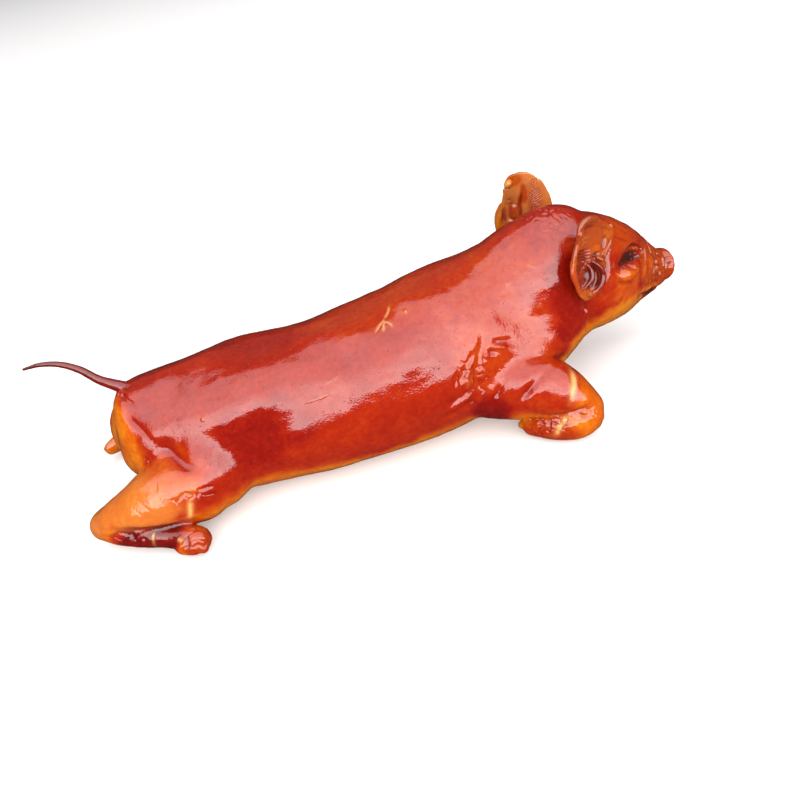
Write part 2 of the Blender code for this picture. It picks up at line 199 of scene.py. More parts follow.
def fade_upwards(lamp, share):
    """Dims a lamp from its lower edge to its upper one, where this share is left, with soft clouds."""
    lamp.use_nodes = True
    tree = lamp.node_tree
    place = put(tree, "ShaderNodeNewGeometry").outputs["Parametric"]
    apart = put(tree, "ShaderNodeSeparateXYZ", Vector=place)
    fade = put(tree, "ShaderNodeMapRange", Value=apart.outputs["Y"], To_Min=1.0, To_Max=share)
    uneven = clouds(tree, place, CLOUDS_ACROSS, 1.0 - CLOUDINESS, 1.0 + CLOUDINESS)
    strength = reckoned(tree, "MULTIPLY", fade.outputs["Result"], uneven)
    tree.links.new(strength, tree.nodes["Emission"].inputs["Strength"])


def add_softbox(name, turn, rise, width, height, radiance, share, colour):
    lamp = bpy.data.lights.new(name, "AREA")
    lamp.shape = "RECTANGLE"
    lamp.size = width
    lamp.size_y = height
    lamp.energy = radiance * math.pi * width * height
    lamp.color = colour
    box = shown(lamp, name)
    away = direction(math.radians(turn), math.radians(rise))
    box.location = RIG_MIDDLE + away * RIG_DISTANCE
    box.rotation_euler = (math.radians(90 - rise), 0, math.radians(turn))
    box.visible_camera = False
    fade_upwards(lamp, share)


for name, settings in SOFTBOXES.items():
    add_softbox(name, *settings)
print("softboxes:", ", ".join(SOFTBOXES))

# %% Floor and surround
FLOOR_HALF_SIZE = 14.0
FLOOR_DROP = 0.0002
FLOOR_COLOUR = (0.72, 0.715, 0.70, 1.0)
FLOOR_ROUGHNESS = 0.9
FLOOR_GLOW = 0.30
SURROUND = (0.035, 0.035, 0.04, 1.0)
BACKDROP = (0.86, 0.86, 0.85, 1.0)


def add_floor():
    bm = bmesh.new()
    bmesh.ops.create_grid(bm, x_segments=1, y_segments=1, size=FLOOR_HALF_SIZE)
    mesh = bpy.data.meshes.new("floor")
    bm.to_mesh(mesh)
    bm.free()
    material = bpy.data.materials.new("pale_floor")
    material.use_nodes = True
    looks = {"Base Color": FLOOR_COLOUR, "Roughness": FLOOR_ROUGHNESS, "Emission Color": FLOOR_COLOUR,
             "Emission Strength": FLOOR_GLOW}
    for label, value in looks.items():
        material.node_tree.nodes["Principled BSDF"].inputs[label].default_value = value
    mesh.materials.append(material)
    floor = shown(mesh, "floor")
    floor.location.z = -FLOOR_DROP
    floor.visible_glossy = False
    floor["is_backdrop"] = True


def add_surround():
    """A dim surround for the skin to mirror, and a pale one for the camera to see."""
    world = bpy.data.worlds.new("surround")
    bpy.context.scene.world = world
    world.use_nodes = True
    tree = world.node_tree
    dim = tree.nodes["Background"]
    dim.inputs["Color"].default_value = SURROUND
    pale = put(tree, "ShaderNodeBackground", Color=BACKDROP)
    seen = put(tree, "ShaderNodeLightPath").outputs["Is Camera Ray"]
    either = put(tree, "ShaderNodeMixShader", Fac=seen)
    tree.links.new(dim.outputs["Background"], either.inputs[1])
    tree.links.new(pale.outputs["Background"], either.inputs[2])
    tree.links.new(either.outputs["Shader"], tree.nodes["World Output"].inputs["Surface"])


add_floor()
add_surround()
bpy.context.scene.view_settings.view_transform = "Standard"
print("the floor lies", FLOOR_DROP * MM_PER_METRE, "mm under the pig")

# %% [markdown]
# ## Forming a skin
#
# The animal is built the way a sculptor would block it out: ovals lofted along the trunk and
# the head, and round tubes for the limbs. A voxel remesh then melts them into one skin, as
# wet clay is smoothed over its joins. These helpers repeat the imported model's own, because this
# script can't read that file, but they run at a finer voxel.

# %% Helpers that loft
TRUNK_SIDES = 64
LIMB_SIDES = 32
LIMB_STEPS = 6
LIMB_END_DEGREES = (80, 55, 30)


def eased(rows, steps=8):
    """A smooth run of rows through the given ones (Catmull-Rom)."""
    rows = np.array(rows, dtype=float)
    line = np.vstack([2 * rows[0] - rows[1], rows, 2 * rows[-1] - rows[-2]])
    out = []
    for i in range(len(rows) - 1):
        a, b, c, d = line[i:i + 4]
        for t in np.arange(steps) / steps:
            out.append(0.5 * (2 * b + (c - a) * t + (2 * a - 5 * b + 4 * c - d) * t ** 2
                              + (3 * b - 3 * c + d - a) * t ** 3))
    out.append(rows[-1])
    return np.array(out)


def loft(bm, rings):
    """Closes a run of rings, each a list of points, into one skin with its ends capped."""
    rows = [[bm.verts.new(p) for p in ring] for ring in rings]
    count = len(rows[0])
    for a, b in zip(rows, rows[1:]):
        for i in range(count):
            j = (i + 1) % count
            bm.faces.new((a[i], a[j], b[j], b[i]))
    bm.faces.new(rows[0][::-1])
    bm.faces.new(rows[-1])


def oval(middle, side, up, half_width, above, below, square=2.0, egg=0.0, count=TRUNK_SIDES):
    """One ring: an oval with its own height and depth, squarer and wider below."""
    ring = []
    for k in range(count):
        turn = 2 * math.pi * k / count
        c = math.cos(turn)
        s = math.sin(turn)
        power = 2.0 if s > 0 else square
        reach = (abs(c) ** power + abs(s) ** power) ** (-1 / power)
        height = above if s > 0 else below
        ring.append(middle + side * (half_width * c * reach * (1 - egg * s)) + up * (height * s * reach))
    return ring


def tube(bm, rows):
    """A limb: a round section of changing radius along a curved line, with round ends."""
    run = eased(rows, LIMB_STEPS)
    points = [Vector(r[:3]) for r in run]
    radii = [r[3] for r in run]
    start = (points[0] - points[1]).normalized()
    end = (points[-1] - points[-2]).normalized()
    dome = [math.radians(a) for a in LIMB_END_DEGREES]
    path = [(points[0] + start * radii[0] * math.sin(a), radii[0] * math.cos(a)) for a in dome]
    path += list(zip(points, radii))
    path += [(points[-1] + end * radii[-1] * math.sin(a), radii[-1] * math.cos(a)) for a in dome[::-1]]
    rings = []
    for i, (p, r) in enumerate(path):
        ahead = path[min(i + 1, len(path) - 1)][0] - path[max(i - 1, 0)][0]
        side = ahead.cross(Vector((0, 0, 1))).normalized()
        up = side.cross(ahead).normalized()
        rings.append(oval(p, side, up, r, r, r, count=LIMB_SIDES))
    loft(bm, rings)


print("a limb has", LIMB_SIDES, "sides and the trunk", TRUNK_SIDES)

# %% Helpers that melt
EASING_FACTOR = 0.5


def taken(holder):
    """The mesh that a holder's modifiers make of it. The holder itself goes."""
    result = bpy.data.meshes.new_from_object(holder.evaluated_get(bpy.context.evaluated_depsgraph_get()))
    bpy.data.objects.remove(holder)
    return result


def evaluated(mesh, *modifiers):
    """The mesh as it is after modifiers, each given as a type and its settings."""
    holder = shown(mesh, "holder")
    for kind, settings in modifiers:
        modifier = holder.modifiers.new(kind.title(), kind)
        for key, value in settings.items():
            setattr(modifier, key, value)
    return taken(holder)


def settle(bm, voxel, easing, *finish):
    """Melts overlapping closed skins into one and eases it; returns the new mesh."""
    mesh = bpy.data.meshes.new("overlapping")
    bmesh.ops.recalc_face_normals(bm, faces=bm.faces)
    bm.to_mesh(mesh)
    bm.free()
    return evaluated(mesh, ("REMESH", {"mode": "VOXEL", "voxel_size": voxel}),
                     ("SMOOTH", {"factor": EASING_FACTOR, "iterations": easing}), *finish)


print("each easing moves a point this share of the way:", EASING_FACTOR)

# %% [markdown]
# ## The big forms
#
# The trunk is a row of sections, each with its own middle, width, height and depth. The head is
# another row, set on its own tilted axis, because the pig holds its head up and a little to its
# left. Legs are rows of points with a radius. One side is written down and the other mirrors it,
# apart from the hind legs below the ham, which lie differently.

# %% The tables of the trunk and the head
# The middle's x, y and z, then half the width, the height above it and the depth below.
TRUNK = (
    (-229, -2, 79, 18, 20, 22),
    (-221, -3, 76, 35, 32, 36),
    (-200, -5, 68, 49, 43, 48),
    (-170, -9, 63, 57, 49, 56),
    (-130, -15, 62, 64, 55, 61),
    (-80, -19, 61, 67, 56.5, 62),
    (-30, -20, 62, 69, 58.5, 63),
    (20, -18, 65, 71, 64, 65),
    (65, -12, 70, 70, 65, 65),
    (105, -6, 77, 66, 63, 63),
    (140, -4, 85, 59, 65, 60),
    (165, -2, 90, 51, 66, 55),
    (185, 0, 89, 43, 60, 49),
    (205, 4, 84, 30, 36, 36),
)
BELLY_SQUARENESS = 2.6
SECTIONS_TILT = 0.5
SNOUT = Vector(metres((282.5, 25, 59)))
HEAD_YAW = math.radians(16)
HEAD_PITCH = math.radians(17)
HEAD_SQUARENESS = 2.2
JOWL_WIDENING = 0.12
# How far back from the snout, then half the width, the height above and the depth below.
HEAD = (
    (0, 12, 11, 11),
    (6, 15.5, 14.5, 19.5),
    (14, 17, 17, 25.5),
    (28, 20.5, 24.5, 30),
    (43, 27.5, 34, 34),
    (62, 37, 43.5, 40),
    (82, 44, 51, 45),
    (102, 47, 55, 48),
    (122, 45, 52, 45),
    (142, 30, 32, 32),
)
SNOUT_RIM = (
    (-1, 11, 10, 10),
    (0, 15, 13.6, 14),
    (2, 17.2, 15.2, 15.8),
    (4.5, 16.6, 14.8, 15.4),
    (9, 13, 12, 12),
)

# %% The tables of the legs
# x, y and z, then a radius.
LEFT_SIDE_SHIFT = 6
HAM = (
    (-150, -20, 56, 43),
    (-158, -42, 49, 41),
    (-166, -58, 42, 37),
    (-176, -68, 37, 31),
)
BUTTOCKS = (
    ((-188, -18, 60, 38), (-201, -19, 55, 34)),
    ((-192, 10, 60, 39), (-207, 12, 55, 37)),
)
RIGHT_GASKIN = (
    (-160, -58, 42, 35),
    (-190, -68, 37, 31),
    (-220, -70, 31, 25),
    (-245, -67, 25, 18),
    (-259, -63, 20, 13.5),
)
RIGHT_HIND_SHANK = (
    (-258, -63, 18.5, 12),
    (-246, -74, 16.5, 11),
    (-226, -85, 15.5, 10),
    (-206, -94, 13.5, 9.5),
    (-194, -100, 12, 11),
    (-186, -104, 11, 10.5),
)
LEFT_GASKIN = (
    (-160, 48, 40, 34),
    (-190, 58, 34, 29),
    (-220, 62, 28, 21),
    (-247, 60, 19, 9.4),
    (-264, 55, 14.5, 6.6),
)
LEFT_HIND_SHANK = (
    (-262, 56, 13.5, 6.2),
    (-248, 67, 12.5, 9),
    (-228, 79, 12, 9.5),
    (-208, 87, 11, 9.5),
    (-196, 93, 11.5, 11),
    (-188, 97, 11, 10.5),
)
ARM = (
    (75, -30, 77, 45),
    (72, -46, 58, 39),
    (78, -60, 45, 31),
    (95, -73, 38, 25),
)
FOREARM = (
    (78, -62, 47, 26.5),
    (100, -77, 43, 23.5),
    (120, -88, 38, 21.5),
    (136, -96, 30, 19.5),
    (145, -100, 22, 17),
)
FORE_SHANK = (
    (143, -103, 18, 16.5),
    (134, -106, 14.5, 14.5),
    (122, -102, 13, 13),
    (112, -95, 12.5, 12),
    (103, -89, 11, 9.5),
)
TOES = (
    ((-198, -104.5, 10.2, 7.8), (-189, -109, 9.2, 7), (-183.5, -112, 7.8, 4.5)),
    ((-196, -96, 11.5, 7.8), (-186, -100.5, 10.8, 7), (-180, -103.5, 9, 4.5)),
    ((114, -101, 12, 8.2), (107, -97.5, 11.5, 6.8), (101, -95, 11, 3.6)),
    ((108, -90, 12.5, 8), (101, -86, 11.2, 6.8), (95, -83, 10, 3.8)),
)
TAIL_ROOT = (
    (-208, -2, 98, 8),
    (-218.5, 0, 106.5, 4.8),
    (-225, 1.5, 110.5, 3.6),
)
RIGHT_EAR_ROOT = (
    (179, -38.7, 101, 10),
    (178, -38.7, 111, 11),
    (177, -36.7, 122, 9),
)

# %% Melting the big forms into one skin
MASS_VOXEL = 0.0030
MASS_EASING = 12
SKIN_VOXEL = 0.0012
SKIN_EASING = 7


def left_side(rows):
    """The same limb on the pig's left, a little closer in because the trunk is bowed."""
    return [(r[0], -r[1] - LEFT_SIDE_SHIFT, *r[2:]) for r in rows]


def head_axes():
    flat = math.cos(HEAD_PITCH)
    ahead = Vector((flat * math.cos(HEAD_YAW), flat * math.sin(HEAD_YAW), -math.sin(HEAD_PITCH)))
    left = Vector((-math.sin(HEAD_YAW), math.cos(HEAD_YAW), 0))
    return ahead, left, ahead.cross(left)


def add_trunk(bm):
    run = eased(metres(TRUNK))
    rings = []
    for i, row in enumerate(run):
        ahead = Vector(run[min(i + 1, len(run) - 1)][:3] - run[max(i - 1, 0)][:3])
        ahead.z *= SECTIONS_TILT
        ahead.normalize()
        side = Vector((0, 0, 1)).cross(ahead).normalized()
        up = ahead.cross(side)
        rings.append(oval(Vector(row[:3]), side, up, row[3], row[4], row[5], BELLY_SQUARENESS))
    loft(bm, rings)


def add_along_head(bm, rows, square=2.0, egg=0.0):
    ahead, left, up = head_axes()
    rings = []
    for back, half_width, above, below in eased(metres(rows)):
        rings.append(oval(SNOUT - ahead * back, left, up, half_width, above, below, square, egg))
    loft(bm, rings)


def masses():
    bm = bmesh.new()
    add_trunk(bm)
    add_along_head(bm, HEAD, HEAD_SQUARENESS, JOWL_WIDENING)
    for rows in (HAM, ARM, FOREARM):
        tube(bm, metres(rows))
        tube(bm, metres(left_side(rows)))
    for rows in (*BUTTOCKS, RIGHT_GASKIN, LEFT_GASKIN):
        tube(bm, metres(rows))
    return settle(bm, MASS_VOXEL, MASS_EASING, ("SUBSURF", {"levels": 1, "render_levels": 1}))


def whole_skin():
    bm = bmesh.new()
    bm.from_mesh(masses())
    for rows in (FORE_SHANK, *TOES):
        tube(bm, metres(rows))
        tube(bm, metres(left_side(rows)))
    for rows in (RIGHT_HIND_SHANK, LEFT_HIND_SHANK, TAIL_ROOT, RIGHT_EAR_ROOT):
        tube(bm, metres(rows))
    add_along_head(bm, SNOUT_RIM)
    return settle(bm, SKIN_VOXEL, SKIN_EASING)


skin_mesh = whole_skin()
print("the melted skin has", len(skin_mesh.vertices), "points")

# %% [markdown]
# ## Working the skin
#
# Folds, wrinkles and stains all follow lines on the skin, so one tool does them all: a stroke.
# It takes a path, finds the points near it, and falls off to nothing at its own width. A stroke
# can press the skin in or raise it, and at the same time it can change three painted values that
# the glaze will read later:
#
# - tone runs from 0, the deep red of a thick glaze, to 1, the gold of thin skin;
# - pale is skin that the glaze never reached, and in a few places a painted highlight;
# - char is skin that has dried or scorched to dark brown, and in deep slits, recesses and
#   creases between parts it is painted shade.
#
# Places are given the way a cook would point at them: on the trunk by how far along and how far
# round, on the head by how far back from the snout and how far round.

# %% Soft steps and noise
def smooth(values):
    """A step from 0 to 1 with soft ends."""
    values = np.clip(values, 0, 1)
    return values ** 2 * (3 - 2 * values)


def noise_at(points, size, shift=0.0):
    """Perlin noise, about -1 to 1, at each point, with lumps of the given size."""
    size = size / MM_PER_METRE
    return np.array([noise.noise(Vector(p) / size + Vector((shift, 0, 0))) for p in points])


print("a quarter of the way along, the soft step is at", smooth(0.25))

# %% The skin and its tools
# Reaches and softnesses are shares of a stroke's width or of a patch's radii.
STROKE_REACH = 3.0
STROKE_END_LENGTH = 0.3
STROKE_END_DEPTH = 0.15
STROKE_STEPS = 6
RAY_START_OUTSIDE_TRUNK = 90
RAY_START_OUTSIDE_HEAD = 6
PLAIN_PAINT = {"tone": 0.36, "pale": 0.0, "char": 0.0}
PATCH_END = 1.3
WASH_SOFTNESS = 0.55
WASH_RAGGED_SIZE = 11
WASH_RAGGED_AMOUNT = 0.22
CRUMPLE_SOFTNESS = 0.6
CREASE_SHARPNESS = 0.09
CREASE_TONE = 0.15
CREASE_TINT = 0.5


class Skin:
    """The points of a skin, with ways to find a place on it, to press it and to paint it.

    Points and found places are in metres. All sizes given to it are in millimetres.
    """

    def __init__(self, mesh):
        self.mesh = mesh
        self.points = np.empty(len(mesh.vertices) * 3)
        mesh.vertices.foreach_get("co", self.points)
        self.points = self.points.reshape(-1, 3)
        self.refresh()
        self.spine = eased(metres(TRUNK))
        self.paint = self.plain_paint()
        self.ragged = noise_at(self.points, WASH_RAGGED_SIZE)

    def plain_paint(self):
        return {name: np.full(len(self.points), value) for name, value in PLAIN_PAINT.items()}

    def refresh(self):
        """Lets places and directions follow the skin as it is pressed by now."""
        self.mesh.vertices.foreach_set("co", self.points.ravel())
        self.mesh.update()
        normals = np.empty(self.points.size)
        self.mesh.vertices.foreach_get("normal", normals)
        self.normals = normals.reshape(-1, 3)
        self.tree = BVHTree.FromPolygons(self.points.tolist(), [f.vertices for f in self.mesh.polygons])

    def met_from_outside(self, start, away, reach):
        hit = self.tree.ray_cast(start + away * (reach / MM_PER_METRE), -away)[0]
        return hit if hit is not None else start

    def on_trunk(self, x, degrees):
        """How far along, and how far up round the trunk from the pig's right."""
        x = x / MM_PER_METRE
        y = np.interp(x, self.spine[:, 0], self.spine[:, 1])
        z = np.interp(x, self.spine[:, 0], self.spine[:, 2])
        turn = math.radians(degrees)
        away = Vector((0, -math.cos(turn), math.sin(turn)))
        return self.met_from_outside(Vector((x, y, z)), away, RAY_START_OUTSIDE_TRUNK)

    def on_head(self, back, degrees):
        """How far back from the snout, and how far up round the head from the pig's right."""
        ahead, left, up = head_axes()
        turn = math.radians(degrees)
        away = up * math.sin(turn) - left * math.cos(turn)
        reach = np.interp(back, [row[0] for row in HEAD], [max(row[1:]) for row in HEAD])
        middle = SNOUT - ahead * (back / MM_PER_METRE)
        return self.met_from_outside(middle, away, reach + RAY_START_OUTSIDE_HEAD)

    def nearest(self, x, y, z):
        return self.tree.find_nearest(Vector(metres((x, y, z))))[0]

    def gaps(self, middle, radii):
        """How far each point is from a found place, counted in radii."""
        return np.linalg.norm((self.points - np.array(middle)) / metres(radii), axis=1)

    def press(self, near, depths):
        self.points[near] -= self.normals[near] * depths[:, None]

    def blend(self, near, cover, colours):
        """Brings the painted values towards the given ones, as far as each point is covered."""
        for name, value in colours.items():
            held = self.paint[name]
            held[near] += (value - held[near]) * cover

    def stroke(self, path, width, depth, **colours):
        """Presses a soft groove along a path (a ridge has a negative depth) and paints it."""
        width = width / MM_PER_METRE
        line = np.array([tuple(p) for p in path])
        if len(line) > 2:
            line = eased(line, STROKE_STEPS)
        low = line.min(0) - STROKE_REACH * width
        high = line.max(0) + STROKE_REACH * width
        near = np.where(((self.points > low) & (self.points < high)).all(1))[0]
        here = self.points[near]
        a = line[:-1]
        span = line[1:] - a
        t = np.clip(((here[:, None] - a) * span).sum(2) / (span ** 2).sum(1), 0, 1)
        gap = np.linalg.norm(here[:, None] - (a + t[..., None] * span), axis=2)
        best = gap.argmin(1)
        along = (best + t[np.arange(len(near)), best]) / len(a)
        strength = STROKE_END_DEPTH + (1 - STROKE_END_DEPTH) * smooth(
            np.minimum(along, 1 - along) / STROKE_END_LENGTH)
        fall = strength * np.exp(-(gap.min(1) / width) ** 2)
        self.press(near, depth / MM_PER_METRE * fall)
        self.blend(near, fall, colours)

    def wash(self, middle, radii, **colours):
        """Paints a soft patch with a ragged edge, as far out as an ellipsoid's radii."""
        gap = self.gaps(middle, radii)
        cover = smooth((PATCH_END - gap - WASH_RAGGED_AMOUNT * self.ragged) / WASH_SOFTNESS)
        near = np.where(cover > 0)[0]
        self.blend(near, cover[near], colours)

    def lean(self, middle, reach, degrees):
        """Tips a patch about its middle, so that it faces lower. A negative angle faces it higher."""
        centre, facing = self.tree.find_nearest(middle)[:2]
        uphill = np.array((Vector((0, 0, 1)) - facing * facing.z).normalized())
        away = self.points - np.array(centre)
        fall = np.exp(-self.gaps(centre, reach) ** 2)
        rise = math.tan(math.radians(degrees)) * (away @ uphill) * fall
        self.points += self.normals * rise[:, None]

    def ripple(self, size, height, shift, stretch=1.0):
        """Gentle unevenness all over, drawn out along the body where it is stretched."""
        places = self.points / (stretch, 1.0, 1.0)
        self.points += self.normals * (height / MM_PER_METRE * noise_at(places, size, shift))[:, None]

    def crumple(self, middle, radii, size, depth):
        """Covers a place with fine creases, which run wherever a noise crosses zero."""
        gap = self.gaps(middle, radii)
        near = np.where(gap < PATCH_END)[0]
        crease = np.exp(-(noise_at(self.points[near], size) / CREASE_SHARPNESS) ** 2)
        fall = smooth((PATCH_END - gap[near]) / CRUMPLE_SOFTNESS) * crease
        self.press(near, depth / MM_PER_METRE * fall)
        self.blend(near, CREASE_TINT * fall, {"tone": CREASE_TONE})

    def write_back(self):
        self.mesh.vertices.foreach_set("co", self.points.ravel())
        for name, values in self.paint.items():
            self.mesh.attributes.new(name, "FLOAT", "POINT").data.foreach_set("value", values)
        self.mesh.update()


skin = Skin(skin_mesh)
print("the skin's points run from", skin.points.min(0).round(4), "to", skin.points.max(0).round(4))

# %% [markdown]
# ## Folds of the trunk and the legs
#
# Skin folds where a limb is bent against the body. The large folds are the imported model's own.
# The small ones are added here: the sheaf behind the shoulder, the fine creases over the thigh,
# and the pleats of the feet. Before that, some patches of the body are tipped, by up to 28
# degrees. That moves the skin by millimetres, but on a mirror it decides what each patch shows.

# %% The lie of the trunk's skin
def opposite(places):
    """The same places on the other side: angles are counted from the pig's right."""
    return [(along, 180 - degrees) for along, degrees in places]


# Place along, degrees up, reach along and reach round, and the lean in degrees, on both flanks.
LEANS = {
    "before the ham": (-116, 24, 26, 24, 17),
    "low swell of the flank": (-75, 10, 26, 22, -15),
    "before the shoulder": (14, 5, 22, 20, -8),
    "behind the shoulder": (46, 12, 20, 24, -10),
    "shoulder": (114, 14, 42, 34, -20),
    "low on the shoulder": (122, -10, 38, 28, -28),
    "ham": (-184, 0, 28, 24, -10),
    "rump": (-204, 16, 26, 26, -8),
    "top of the rump": (-176, 80, 36, 22, 9),
    "first dip of the back": (-96, 70, 20, 16, -6),
    "second dip of the back": (-16, 70, 18, 16, -7),
    "third dip of the back": (52, 70, 18, 16, -6),
    "between the dips": (-55, 68, 14, 16, 7),
    "before the third dip": (21, 70, 12, 16, 7),
    "withers": (112, 76, 34, 22, 9),
    "nape": (150, 80, 22, 20, 10),
}
for along, degrees, reach_along, reach_round, tip in LEANS.values():
    for place in ((along, degrees), *opposite([(along, degrees)])):
        skin.lean(skin.on_trunk(*place), (reach_along, reach_round, reach_round), tip)
print("leaning patches:", 2 * len(LEANS))

# %% Folds of the trunk
# Width, depth, painted values, then places: how far along, and degrees up from the right side.
TRUNK_FOLDS = {
    "groove between rump and ham": (15, 1, {}, ((-216, 40), (-197, 14), (-176, -2), (-158, -8))),
    "hollow behind the shoulder": (14, 2.2, {}, ((36, 70), (48, 40), (52, 10), (50, -12))),
    "fold of the shoulder": (3.6, 3.4, {"tone": 0.46}, ((79, 32), (69, 13), (62, 0), (64, -14))),
    "fold behind it": (2.2, 2.4, {"tone": 0.46}, ((74, 20), (60, 14), (50, 6), (46, -2))),
    "fold behind that": (1.8, 1.4, {"tone": 0.46}, ((53, 28), (51, 15), (45, 6), (40, 0))),
    "ridge between the folds": (1.6, -1.8, {"pale": 0.12}, ((65, 18), (56, 8), (53.5, 0), (54, -6))),
    "second ridge": (1.2, -1.4, {"pale": 0.18}, ((68, 10), (60, 4), (57.5, -4))),
    "first short ridge": (1.7, -2, {}, ((81, -8), (70, -13))),
    "second short ridge": (2.2, -2.2, {}, ((94, -8), (80, -15))),
    "hollow between them": (3, 2.6, {"tone": 0.2}, ((89, -5), (78, -11), (71, -16))),
    "hollow over the elbow": (3, 2, {"tone": 0.2}, ((101, -9), (90, -14), (80, -18))),
    "long fold before the elbow": (3, -3.6, {}, ((29, -12), (43, -10), (58.5, -8))),
    "crease under the long fold": (2, 2, {"tone": 0.25}, ((28, -16), (45, -15), (60, -13))),
    "crease over the long fold": (1.8, 1.6, {"tone": 0.25}, ((34, -7), (46, -6), (57, -4))),
    "small fold under it": (1.5, -1.8, {}, ((58, -14), (53, -18))),
    "smaller fold beside it": (1.3, -1.4, {}, ((53, -19), (48, -22))),
    "crease beside the tail": (2, 1.8, {"tone": 0.25}, ((-217, 76), (-212, 62), (-204, 48))),
    "first fine line of the rump": (1, 0.8, {"tone": 0.2}, ((-199, 1), (-205, -8), (-211, -17))),
    "second fine line of the rump": (1, 0.8, {"tone": 0.2}, ((-203, 3), (-209, -6), (-215, -14))),
}
SPINE_GROOVE = (10, 0.8, ((-190, 88), (-80, 90), (30, 92), (100, 92)))


def work(strokes, find, mirrored):
    """Works strokes into the skin on both sides: width, depth, painted values and places."""
    for width, depth, colours, places in strokes:
        for side in (places, mirrored(places)):
            skin.stroke([find(*place) for place in side], width, depth, **colours)


work(TRUNK_FOLDS.values(), skin.on_trunk, opposite)
width, depth, places = SPINE_GROOVE
skin.stroke([skin.on_trunk(*place) for place in places], width, depth)
print("folds on the trunk:", 2 * len(TRUNK_FOLDS) + 1)

# %% Folds of the legs
# Width, depth, painted values, then places: x, y, z on the right leg.
LEG_FOLDS = {
    # The creases where limbs press together are also painted darker, with tone and char, as painted
    # shade: between shoulder and forearm, beside the knee, between forearm and foot, between gaskin and
    # shank, and in the pinch over the thigh band.
    "between shoulder and forearm": (3.4, 6.4, {"tone": 0.12}, ((141, -66, 55), (125, -87, 62),
        (110, -96, 62), (97, -99, 54), (86, -97, 43))),
    "hollow beside the knee": (3.4, 4, {"char": 0.6}, ((146, -66, 52), (140, -74, 56))),
    "line down the forearm": (2.2, 1, {"tone": 0.2}, ((117, -104, 56), (107, -106, 47))),
    "second line down the forearm": (1.6, 0.8, {"tone": 0.2}, ((124, -108, 51), (112, -109, 41))),
    "between forearm and foot": (3, 3.4, {"tone": 0.08, "char": 0.25}, ((99, -100, 30), (117, -107, 30),
        (133, -113, 32), (148, -112, 33))),
    "between gaskin and shank": (3, 2.8, {"tone": 0.05, "char": 0.5}, ((-250, -82, 28), (-228, -91, 28),
        (-205, -96, 26), (-178, -98, 25))),
    "pinch over the thigh band": (1.5, 1.6, {"char": 0.5}, ((-191, -97, 47.5), (-184, -96, 52),
        (-174, -96, 48))),
    "first spike beside it": (1.2, 1, {"tone": 0.1}, ((-172, -94, 51), (-160, -92, 49))),
    "second spike beside it": (1.2, 1, {"tone": 0.1}, ((-172, -96, 46), (-158, -94, 43))),
    "thigh crease": (0.9, 0.4, {"tone": 0.30}, ((-221, -83, 52), (-214, -91, 45), (-204, -96, 38))),
    "thigh crease below": (0.7, 0.3, {"tone": 0.30}, ((-228, -84, 48), (-220, -91, 41),
        (-208, -96, 34))),
    "thigh crease above": (0.8, 0.3, {"tone": 0.30}, ((-214, -84, 55), (-207, -92, 48),
        (-196, -96, 41))),
    "first fold of the foot": (1.2, 1.8, {"tone": 0.2}, ((106, -100, 29), (105, -105, 19))),
    "second fold of the foot": (1.2, 2, {"tone": 0.2}, ((109, -103, 29), (110, -108, 19))),
    "third fold of the foot": (1.2, 2, {"tone": 0.2}, ((112, -105, 29), (115, -111, 20))),
    "fourth fold of the foot": (1.2, 1.8, {"tone": 0.2}, ((115, -107, 29), (120, -113, 22))),
    "ridge over the toe": (1.4, -1.2, {"tone": 0.9}, ((103, -98, 27), (102, -102, 19))),
    "fold by the knee": (1.4, 1.6, {"char": 0.2}, ((131, -113, 30), (139, -116, 26))),
    "second fold by the knee": (1.2, 1.4, {"tone": 0.2}, ((137, -112, 33), (145, -114, 29))),
    "oval fold of the hock": (1.6, 1.4, {"tone": 0.05}, ((-252, -78, 21), (-245, -84, 25),
        (-234, -90, 22), (-243, -86, 17))),
    "split of the hind hoof": (1.4, 2.2, {"char": 0.5}, ((-194, -107, 16), (-182, -112, 8))),
    "dewclaw": (2.4, -2.2, {"tone": 0.5, "pale": 0.3}, ((-199, -104, 18), (-195, -107, 16))),
    "ring of the hind hoof": (1.5, 1.2, {"char": 0.4}, ((-193, -103, 21), (-193, -110, 16),
        (-195, -112, 8))),
}
work(LEG_FOLDS.values(), skin.nearest, left_side)
print("folds on the legs:", 2 * len(LEG_FOLDS))

# %% [markdown]
# ## The face
#
# The eye has sunk and dried into a dark slit between thick lids, over a bag that the glaze
# makes shine. The slit and the band round it are painted near black, partly the dried eye's own
# colour and partly painted shade of its depth. The snout has shrunk into upright folds of unlike
# lengths, and a fine line of gold parts the jowl from the neck. Strokes make these, from the broad
# hollow down to the slit in its middle. Last, a crumple adds the fine creases of shrunken skin
# wherever it dried hard.

# %% Strokes of the face
# The bag under the eye faces higher than the cheek, which gives it its glint. It is tipped before
# each of the two rounds of strokes.
BAG_PLACE = (91, 20)
BAG_REACH = (13, 11, 9)
BAG_LEAN = -11
